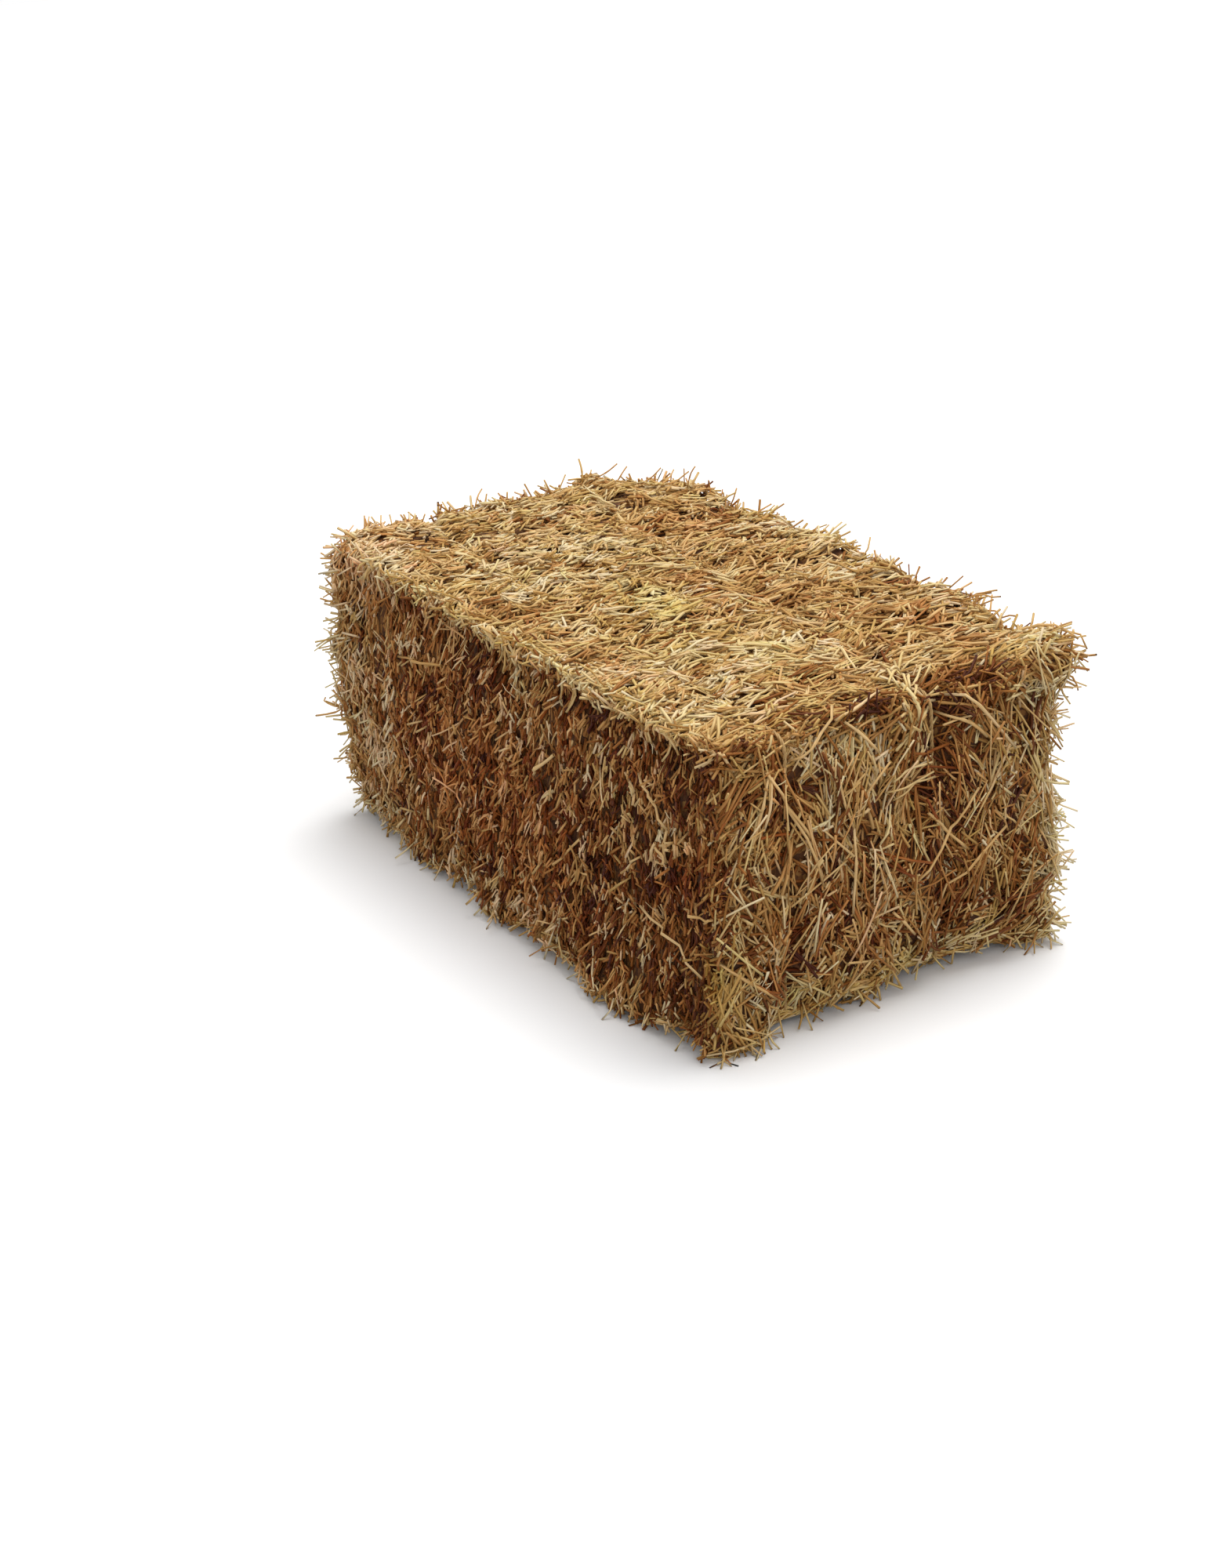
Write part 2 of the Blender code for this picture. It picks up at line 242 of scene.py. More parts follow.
@dataclass(frozen=True)
class TwineRoute:
    """Where a twine crosses the edges of the block, across the bale."""

    name: str
    near_top: float
    near_foot: float
    far: float


class Side(Enum):
    """A side of the block: its outward axis and sign, and the two axes that span it."""

    TOP = (2, 1, 0, 1)
    FOOT = (2, -1, 0, 1)
    LEFT = (1, -1, 0, 2)
    RIGHT = (1, 1, 0, 2)
    NEAR = (0, 1, 1, 2)
    FAR = (0, -1, 1, 2)

    @property
    def spans(self) -> list[int]:
        """The two axes that lie in the side."""
        return list(self.value[2:])


# Where the straw lies deeper than the rest: how deep, then the place's centre and spread, in mm.
HOLLOWS = (
    # Under the roof of top straws on the near end: right of both twines, and between them.
    (18, 388, 165, 306, 40, 55, 15), (20, 380, 125, 363, 30, 36, 24), (14, 388, -80, 340, 40, 55, 18),
    # Clefts beside the twines on the near end, at the top and at the foot.
    (20, 388, 62, 320, 40, 12, 45), (18, 388, 95, 50, 40, 16, 40), (18, 388, -133, 45, 40, 18, 40),
    (14, 388, 20, 245, 40, 22, 50),
    # Along the top of the left side, where the top straws overhang the cut ends.
    (14, -70, -243, 330, 80, 50, 20), (14, 140, -243, 335, 90, 50, 18), (12, 310, -243, 330, 60, 50, 18),
    (10, -250, -243, 325, 45, 50, 25),
    # Behind the hump and at the far right corner of the top.
    (8, -190, 130, 363, 30, 60, 50), (15, -388, 243, 363, 60, 80, 50), (9, -388, -243, 363, 35, 35, 25),
    # Along the foot, where the straw curls in.
    (13, -370, -243, 0, 60, 50, 50), (8, -270, -243, 0, 50, 50, 50), (10, -95, -243, 0, 40, 50, 50),
    (14, 120, -243, 0, 40, 50, 50), (13, 32, -243, 0, 30, 50, 50), (13, 348, -243, 0, 50, 50, 50),
    (14, 388, -68, 0, 50, 35, 40), (16, 388, 35, 0, 50, 35, 40), (17, 388, 148, 0, 50, 50, 40),
    # Down the near right edge, and at the top of the near left corner.
    (12, 388, 243, 258, 60, 50, 55), (10, 388, -225, 345, 30, 40, 22),
    # Tufts that stand out, as hollows of less than nothing: the right edge of the top,
    # the near right corner, the far edge and the upright far left edge.
    (-6, -275, 243, 363, 45, 50, 40), (-12, -130, 243, 363, 40, 50, 40),
    (-21, -20, 243, 363, 45, 60, 40), (-15, 82, 243, 363, 45, 50, 40), (-18, 205, 243, 363, 45, 60, 40),
    (7, 298, 243, 363, 25, 50, 40), (-18, 388, 240, 332, 35, 50, 35), (-8, 388, 243, 112, 50, 50, 25),
    (-16, -388, -108, 363, 50, 30, 40), (-18, -388, 112, 363, 40, 22, 40),
    (10, -388, 190, 363, 50, 40, 40), (11, -388, 50, 363, 50, 35, 40),
    (-10, -388, -243, 325, 50, 50, 40), (-8, -388, -243, 225, 50, 50, 35),
    # Tufts along the foot.
    (-12, 388, -205, 0, 50, 30, 40), (-3, 388, 230, 0, 50, 30, 40), (-6, 245, -243, 0, 40, 50, 50),
    (-12, -32, -243, 0, 30, 50, 50), (-6, -215, -243, 0, 30, 50, 50),
)


@dataclass
class PressedBlock:
    """The block of pressed straw: a box with round edges, swollen here and drawn in there."""

    length: float = 0.776
    width: float = 0.486
    height: float = 0.363
    edge_round: float = 0.026
    seam_dip: float = 0.007
    seam_half_width: float = 0.006
    seam_share_on_top: float = 0.2
    row_pitch: float = 0.0185
    row_dip: float = 0.0075
    groove_dip: float = 0.009
    groove_half_width: float = 0.011
    bare_groove: float = 0.010
    unevenness: float = 0.004
    more_at_ends: float = 0.6
    facing: float = 0.7
    twine_pull: float = 0.012
    twine_clear: float = 0.011
    routes: tuple[TwineRoute, ...] = (
        TwineRoute("twine_left", near_top=-0.150, near_foot=-0.124, far=-0.112),
        TwineRoute("twine_right", near_top=0.048, near_foot=0.092, far=0.104),
    )
    flake_names: tuple[str, ...] = tuple(f"flake_{k:02d}" for k in range(1, 14))
    sizes: Array = field(init=False)
    seams: Array = field(init=False)
    hollows: list[SoftPlace] = field(init=False)
    swellings: list[SoftPlace] = field(init=False)

    def __post_init__(self) -> None:
        """Find the seams from the solids, and list the hollows and the swellings."""
        self.sizes = np.array([self.length, self.width, self.height])
        self.seams = np.array([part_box(name)[0].x for name in self.flake_names[1:]])
        self.hollows = soft_places(HOLLOWS, MM, MM)
        x, y, z = self.length / 2, self.width / 2, self.height
        mid, everywhere = z / 2, 10.0
        # How far each swelling pushes the straw, then its centre and its spread.
        rows = [
            (0, -0.024, 0, 0.18, -y, 0, 0.20, 0.08, 0.10),
            (0, 0.012, 0, -x, -y, 0, 0.14, 0.08, 0.14),
            (0, 0.010, 0, x, y, 0, 0.12, 0.08, 0.10),
            (0, -0.005, 0, 0, -y, mid, everywhere, 0.08, 0.13),
            (0, 0.005, 0, 0, y, mid, everywhere, 0.08, 0.13),
            (0, 0, 0.005, 0, 0, z, everywhere, 0.16, 0.10),
            (0, 0, 0.016, -0.320, 0.110, z, 0.09, 0.10, 0.10),
            (0, 0, 0.018, x, y, z, 0.09, 0.09, 0.10),
            (0, 0, 0.012, -x, -y, z, 0.10, 0.12, 0.10),
            (0.010, 0, 0, x, 0, mid, 0.035, 0.16, 0.12),
            (-0.010, 0, 0, -x, 0, mid, 0.035, 0.16, 0.12),
            (-0.014, 0, 0, x, 0.06, 0, 0.035, 0.13, 0.065),
        ]
        # The twines draw the edges in.
        for route in self.routes:
            ends = ((1, route.near_top, route.near_foot), (-1, route.far, route.far))
            for sign, top_y, foot_y in ends:
                drawn = -self.twine_pull * sign
                rows.append((drawn, 0, -self.twine_pull, x * sign, top_y, z, 0.03, 0.03, 0.06))
                rows.append((drawn, 0, 0, x * sign, foot_y, 0, 0.03, 0.03, 0.05))
        self.swellings = soft_places(rows, 1, 1)

    def twine_offset(self, points: Array) -> Array:
        """How far each point lies across the bale from the nearest twine's line.

        Args:
            points: the points.

        Returns:
            The distance of each, less than nothing on the left of its twine.
        """
        up = np.clip(points[:, 2] / self.height, 0, 1)
        along = np.clip(points[:, 0] / self.length + 0.5, 0, 1)
        gaps = []
        for route in self.routes:
            near = route.near_foot + (route.near_top - route.near_foot) * up
            gaps.append(points[:, 1] - (route.far + (near - route.far) * along))
        gaps = np.array(gaps)
        return gaps[np.abs(gaps).argmin(0), np.arange(len(points))]

    def lay(self, sharp: Array, heights: Array) -> tuple[Array, Array]:
        """Move points of the sharp box to the pressed surface.

        Args:
            sharp: points on the sharp box.
            heights: how far over the surface each point goes.

        Returns:
            The moved points, and the direction out of the block at each.
        """
        half = np.array([self.length / 2, self.width / 2, 0])
        low = -half + self.edge_round
        high = half + (0, 0, self.height) - self.edge_round
        inner = np.clip(sharp, low, high)
        out = unit(sharp - inner)
        flank = np.abs(out[:, 1])
        seam_gap = np.abs(sharp[:, :1] - self.seams).min(1) / self.seam_half_width
        twine_gap = self.twine_offset(sharp) / self.groove_half_width
        share = self.seam_share_on_top + (1 - self.seam_share_on_top) * flank
        sunk = self.seam_dip * np.exp(-(seam_gap**2)) * share * (flank + abs(out[:, 2]) > self.facing)
        bare = np.clip(-out[:, 0] - out[:, 2], 0, 1)
        groove = self.groove_dip + self.bare_groove * bare
        sunk += groove * np.exp(-(twine_gap**2)) * (flank < self.facing)
        sunk += self.row_dip * self.rows(sharp) * np.clip(flank * 2 - 1, 0, 1)
        for hollow in self.hollows:
            sunk += hollow.amount * hollow.share(sharp)
        at = inner + out * (self.edge_round + heights - sunk)[:, None]
        moved = at.copy()
        for swelling in self.swellings:
            moved += swelling.amount * swelling.share(at)[:, None]
        rough = self.unevenness * (1 + self.more_at_ends * np.abs(out[:, 0]))
        moved += out * (self.lumps(at) * rough)[:, None]
        moved[:, 2] = np.maximum(moved[:, 2], 0.0)
        return moved, out

    def place(self, side: Side, spots: Array, heights: Array) -> tuple[Array, Array]:
        """Lay spots of a side on the pressed surface; one past an edge folds over the edge.

        Args:
            side: the side of the block.
            spots: places along the side's two axes, from its middle.
            heights: how far over the surface each goes.

        Returns:
            The points, and the direction out of the block at each.
        """
        axis, sign, first, second = side.value
        half = self.sizes / 2
        sharp = np.zeros((*spots.shape[:-1], 3))
        sharp[..., axis] = sign * half[axis]
        for column, along in enumerate((first, second)):
            want = spots[..., column]
            sharp[..., along] = np.clip(want, -half[along], half[along])
            sharp[..., axis] -= sign * np.maximum(np.abs(want) - half[along], 0)
        sharp[..., 2] += half[2]
        points, out = self.lay(sharp.reshape(-1, 3), np.ravel(heights))
        return points.reshape(sharp.shape), out.reshape(sharp.shape)

    def rows(self, points: Array) -> Array:
        """How deep each point lies between the upright rows of folded straw.

        Args:
            points: the points.

        Returns:
            A depth from 0 to 1 for each.
        """
        x, _, z = points.T
        phase = x / self.row_pitch + 0.5 * np.sin(27 * x + 1) + 0.25 * np.sin(31 * z + 9 * x)
        return 0.5 - 0.5 * np.cos(math.tau * phase)

    def lumps(self, points: Array) -> Array:
        """The slow unevenness of pressed straw, in waves 30 to 90 mm long.

        Args:
            points: the points.

        Returns:
            A height from about -1 to 1 for each.
        """
        x, y, z = points.T
        first = np.sin(74 * x + 1.3) * np.sin(91 * y + 0.4) * np.sin(83 * z + 2.1)
        second = np.sin(155 * x - 60 * y + 0.7) + np.sin(118 * y + 96 * z + 1.9)
        return 0.6 * first + 0.25 * second


# ---- Stalks: shapes that are modelled once ----


@dataclass
class StalkShape:
    """One stalk of unit length along X and unit radius, ready to be stamped many times."""

    points: Array
    loops: Array
    face_sizes: Array
    smooth: Array
    painted_shade: Array
    cell: Array
    stations: Array
    weights: Array


@dataclass
class StalkBench:
    """Models the few shapes of stalk that the whole bale is stamped from."""

    hollow_wall: float = 0.32
    hollow_depth: float = 0.05
    hollow_reach: float = 0.06
    hollow_radius: float = 0.9
    painted_shade_in_hollows: float = 0.35
    node_swell: float = 1.25
    cap_band: float = 0.05
    tip_width: float = 0.22
    narrows_at: float = 0.45

    def tube(
        self, sides: int, rings: Places = (), node_at: float | None = None, open_ends: Places = ()
    ) -> StalkShape:
        """A round straw: a tube with cut ends.

        Args:
            sides: the number of flats round it.
            rings: places along it, from 0 to 1, where it can bend.
            node_at: the ring that is the thicker node, if any.
            open_ends: the ends, 0 or 1, that are hollow to see.

        Returns:
            The shape.
        """
        obj = add_primitive(
            bpy.ops.mesh.primitive_cylinder_add, vertices=sides, radius=1, depth=1,
            end_fill_type="NGON", location=(0.5, 0, 0), rotation=(0, math.pi / 2, 0),
        )
        for ring in rings:
            cut_across(0, ring)
        if node_at is not None:
            select_parts(obj, "VERT", lies_at(node_at))
            bpy.ops.transform.resize(value=(1, self.node_swell, self.node_swell))
        for end in open_ends:
            inward = self.hollow_depth if end == 0 else -self.hollow_depth
            select_parts(obj, "FACE", lies_at(end))
            bpy.ops.mesh.inset(thickness=self.hollow_wall)
            bpy.ops.transform.translate(value=(inward, 0, 0))
        return self.read(obj, rings)

    def blade(self, rings: Places, twist: float) -> StalkShape:
        """A leaf or a split straw: a flat strip that narrows to its tip.

        Args:
            rings: places along it, from 0 to 1, where it can bend.
            twist: how far its tip is turned, in radians.

        Returns:
            The shape.
        """
        obj = add_primitive(
            bpy.ops.mesh.primitive_cube_add, size=1, location=(0.5, 0, 0), scale=(1, 2, 0.5)
        )
        for ring in rings:
            cut_across(0, ring)
        for k, ring in enumerate((*rings, 1.0)):
            select_parts(obj, "VERT", lies_at(ring))
            narrowed = max(0.0, (ring - self.narrows_at) / (1 - self.narrows_at))
            bpy.ops.transform.resize(value=(1, 1.0 - (1 - self.tip_width) * narrowed, 1))
            turn = twist * (k + 1) / (len(rings) + 1)
            bpy.ops.transform.rotate(value=turn, orient_axis="X", center_override=(ring, 0, 0))
        return self.read(obj, rings)

    def read(self, obj: Object, rings: Places) -> StalkShape:
        """Read a modelled stalk into arrays, and remove its object.

        Args:
            obj: the stalk, in edit mode.
            rings: places along it where it can bend.

        Returns:
            The shape.
        """
        bpy.ops.mesh.select_all(action="SELECT")
        bpy.ops.mesh.normals_make_consistent(inside=False)
        bpy.ops.object.mode_set(mode="OBJECT")
        mesh = obj.data
        points, loops, face_sizes = mesh_arrays(mesh)
        stations = np.array([0.0, *rings, 1.0])
        along = np.clip(points[:, 0], 0, 1)
        deep = np.minimum(along, 1 - along)
        radius = np.linalg.norm(points[:, 1:], axis=1)
        # The floor of a hollow end is painted darker, as painted shade.
        inside = (deep > TOUCHING) & (deep < self.hollow_reach) & (radius < self.hollow_radius)
        shape = StalkShape(
            points=points,
            loops=loops,
            face_sizes=face_sizes,
            smooth=np.array([abs(p.normal.x) < 0.5 for p in mesh.polygons]),
            painted_shade=np.where(inside, self.painted_shade_in_hollows, 1.0),
            cell=self.unrolled(mesh),
            stations=stations,
            weights=np.array([np.interp(along, stations, row) for row in np.eye(len(stations))]).T,
        )
        bpy.data.objects.remove(obj)
        return shape

    def unrolled(self, mesh: Mesh) -> Array:
        """Unroll a stalk's skin into a cell from 0 to 1.

        Args:
            mesh: the stalk.

        Returns:
            A place in the cell for each corner of each face: along the stalk, then round it.
        """
        corners = []
        for face in mesh.polygons:
            places = [mesh.vertices[i].co for i in face.vertices]
            if abs(face.normal.x) > 0.5:
                start = 0.0 if face.center.x < 0.5 else 1.0 - self.cap_band
                corners += [(start + self.cap_band * (p.y + 1) / 2, (p.z + 1) / 2) for p in places]
                continue
            middle = math.atan2(face.center.z, face.center.y)
            for p in places:
                off = (math.atan2(p.z, p.y) - middle + math.pi) % math.tau - math.pi
                round_it = min(max((middle + off) / math.tau + 0.5, 0.0), 1.0)
                corners.append((self.cap_band + (1 - 2 * self.cap_band) * p.x, round_it))
        return np.clip(np.array(corners), 0, 1)

    def all_shapes(self) -> dict[str, StalkShape]:
        """Model every shape of stalk.

        Returns:
            The shapes by name.
        """
        return {
            "whole_stalk": self.tube(6, (0.2, 0.34, 0.4, 0.6, 0.8), 0.4, (0.0, 1.0)),
            "stalk": self.tube(4, (0.34, 0.67)),
            "short_stalk": self.tube(4, (0.5,)),
            "deep_stalk": self.tube(3, (0.5,)),
            "stub": self.tube(5, open_ends=(1.0,)),
            "plain_stub": self.tube(4),
            "deep_stub": self.tube(3),
            "blade": self.blade((0.55,), 0.9),
            "curled_blade": self.blade((0.25, 0.5, 0.75), 2.2),
        }


# ---- Layers of straw ----


class Grain(Enum):
    """How the straws of a layer lie before their scatter."""

    ACROSS = "across the bale, as the plunger combs them"
    HANGING = "down the side"
    FANNED = "down the end, and fanned out from where the twines pinch it"
    OUTWARD = "towards the nearest edge"


@dataclass(frozen=True)
class StrawLayer:
    """A kind of straw on some sides of the bale, and how it lies there.

    The straws come in locks, which share a place, a turn, a depth, a tone and a hue. They follow
    the surface as their stiffness lets them, and stop at the edge or stand out over it.
    """

    shape: str
    per_square_metre: float
    length_mm: Pair
    width_mm: Pair
    depth_mm: Pair
    lift_deg: Pair
    scatter_deg: float
    tone: Pair
    sides: tuple[Side, ...]
    grain: Grain
    lock_scatter_deg: float = 18.0
    lock_size: int = 6
    lock_reach_mm: float = 8.0
    lock_depth_mm: float = 1.8
    lock_tone: float = 0.13
    anchor: Pair = (0.3, 0.7)
    flatness: float = 0.75
    curl: float = 0.05
    arch: float = 0.03
    follow: Pair = (0.5, 1.0)
    roll_deg: float = 25.0
    hue: float = 0.5
    overhang_mm: Pair = (-4.0, 9.0)
    border_mm: Pair | None = None
    scallop_mm: float = 0.0
    far_shortening: float = 0.0


TOPS, FLANKS, ENDS = (Side.TOP,), (Side.LEFT, Side.RIGHT), (Side.NEAR, Side.FAR)
BARE = (Side.FAR, Side.FOOT)
ROOT = (0.0, 0.15)

# The top: stalks combed across the bale, several deep.
on_top = partial(StrawLayer, sides=TOPS, grain=Grain.ACROSS)
top_cover = partial(on_top, lock_reach_mm=6, lock_tone=0.14)
# The cut sides: stubs that the knives left, bent down along the side.
on_flank = partial(StrawLayer, sides=FLANKS, grain=Grain.HANGING)
flank_stub = partial(
    on_flank, anchor=ROOT, lock_scatter_deg=12, lock_reach_mm=5, lock_tone=0.28,
    lock_depth_mm=2.8, hue=0.36, curl=0.02,
)
# The ends: whole stalks that hang and fan out from the twines.
on_end = partial(StrawLayer, sides=ENDS, grain=Grain.FANNED)
end_cover = partial(on_end, lock_scatter_deg=34, lock_reach_mm=5, lock_tone=0.27, hue=0.47)
# The foot: stalks pressed flat under the bale.
on_foot = partial(StrawLayer, sides=(Side.FOOT,), grain=Grain.ACROSS)
# Loose ends that stand out along the edges.
on_edge = partial(
    StrawLayer, "short_stalk", grain=Grain.OUTWARD, anchor=ROOT, lock_size=4,
    follow=(0, 0.2), overhang_mm=(0, 32),
)

# For each layer the shape and how many to the square metre, then the least and most length, width
# and depth in mm, the mean and spread of the lift in degrees, the scatter in degrees, and the
# mean and spread of the tone.
# The deep layers are lower in tone than those over them, and the sides and ends lower and redder than the
# top: partly the straw's own colour and partly painted shade.
LAYERS = (
    on_top("deep_stalk", 4000, (40, 80), (3.6, 5.2), (6, 12), (0, 2), 18, (0.52, 0.05)),
    on_top("short_stalk", 7400, (22, 54), (2.8, 4.2), (1, 7), (0, 5), 20, (0.63, 0.05),
        lock_scatter_deg=20, lock_reach_mm=6, curl=0.03, hue=0.48, scallop_mm=8, far_shortening=0.45),
    on_top("stalk", 900, (45, 85), (2.6, 3.6), (-1, 4), (0, 2), 18, (0.72, 0.07),
        curl=0.04, scallop_mm=8, far_shortening=0.5),
    top_cover("short_stalk", 9300, (18, 52), (2.6, 4.0), (-2, 5), (1, 7), 22, (0.685, 0.035),
        lock_scatter_deg=25, curl=0.03, hue=0.52, scallop_mm=12, far_shortening=0.6, follow=(0.1, 0.9)),
    top_cover("blade", 5200, (12, 36), (2.6, 4.4), (-2, 5), (3, 8), 30, (0.69, 0.045),
        lock_scatter_deg=26, curl=0.06, hue=0.53, scallop_mm=12, far_shortening=0.45, follow=(0.1, 0.9)),
    top_cover("plain_stub", 6500, (7, 20), (2.4, 3.8), (-2, 3), (8, 16), 50, (0.66, 0.06),
        hue=0.52, scallop_mm=8, far_shortening=0.3),
    on_flank("deep_stub", 24000, (12, 22), (2.8, 4.2), (5, 12), (7, 8), 12, (0.33, 0.05),
        anchor=ROOT, hue=0.34, lock_tone=0.08),
    flank_stub("stub", 5500, (8, 15), (2.4, 3.8), (1, 8), (12, 13), 12, (0.51, 0.045)),
    flank_stub("plain_stub", 18000, (7, 16), (2.0, 3.3), (1, 9), (9, 12), 12, (0.51, 0.045), lock_size=8),
    on_flank("blade", 4200, (10, 24), (1.8, 3.2), (0, 6), (9, 12), 20, (0.63, 0.11),
        anchor=ROOT, lock_scatter_deg=16, lock_reach_mm=4, lock_tone=0.28, curl=0.04, hue=0.42),
    on_flank("stalk", 240, (35, 70), (2.0, 3.0), (-3, 1), (0, 5), 50, (0.68, 0.10),
        curl=0.04, follow=(0.2, 0.6), hue=0.42),
    on_flank("stub", 1700, (12, 24), (2.2, 3.2), (3, 7), (42, 18), 45, (0.60, 0.13),
        anchor=ROOT, hue=0.44, curl=0.02),
    on_end("deep_stalk", 6400, (30, 70), (3.4, 5.0), (7, 15), (0, 3), 30, (0.33, 0.05),
        lock_scatter_deg=40, hue=0.36, lock_tone=0.06),
    on_end("stalk", 5200, (30, 80), (2.6, 4.0), (2, 10), (0, 5), 16, (0.48, 0.05),
        lock_scatter_deg=36, lock_reach_mm=6, lock_tone=0.22, lock_depth_mm=3.4, curl=0.03,
        follow=(0.2, 0.7), hue=0.45),
    on_end("stalk", 2100, (34, 100), (2.1, 3.1), (-2, 4), (0, 5), 16, (0.61, 0.12),
        lock_scatter_deg=32, lock_size=3, lock_depth_mm=3.0, curl=0.03, follow=(0.0, 0.5), hue=0.43),
    end_cover("short_stalk", 7500, (16, 46), (2.1, 3.4), (0, 9), (4, 9), 28, (0.51, 0.05),
        lock_scatter_deg=38, lock_reach_mm=5.5),
    end_cover("curled_blade", 1800, (16, 40), (2.2, 3.6), (-1, 7), (4, 9), 30, (0.53, 0.07),
        curl=0.08, hue=0.49),
    end_cover("plain_stub", 6000, (8, 22), (2.0, 3.2), (-1, 8), (10, 15), 45, (0.52, 0.06)),
    on_end("stub", 900, (12, 24), (2.2, 3.2), (3, 8), (38, 18), 60, (0.56, 0.14), anchor=ROOT, hue=0.45),
    on_foot("deep_stalk", 2600, (50, 100), (3.0, 4.4), (3, 9), (0, 2), 14, (0.40, 0.12)),
    on_foot("stalk", 1500, (40, 100), (2.6, 4.0), (0, 4), (0, 2), 16, (0.52, 0.13)),
    on_edge(2300, (14, 34), (2.2, 3.3), (1, 6), (20, 20), 36, (0.62, 0.12), TOPS,
        border_mm=(0, 26), hue=0.54),
    on_edge(1500, (12, 30), (2.2, 3.2), (1, 6), (26, 20), 42, (0.54, 0.13), FLANKS,
        border_mm=(0, 24), hue=0.44),
    on_edge(2300, (16, 36), (2.2, 3.3), (1, 6), (24, 20), 42, (0.57, 0.13), ENDS,
        border_mm=(0, 24), hue=0.47),
)
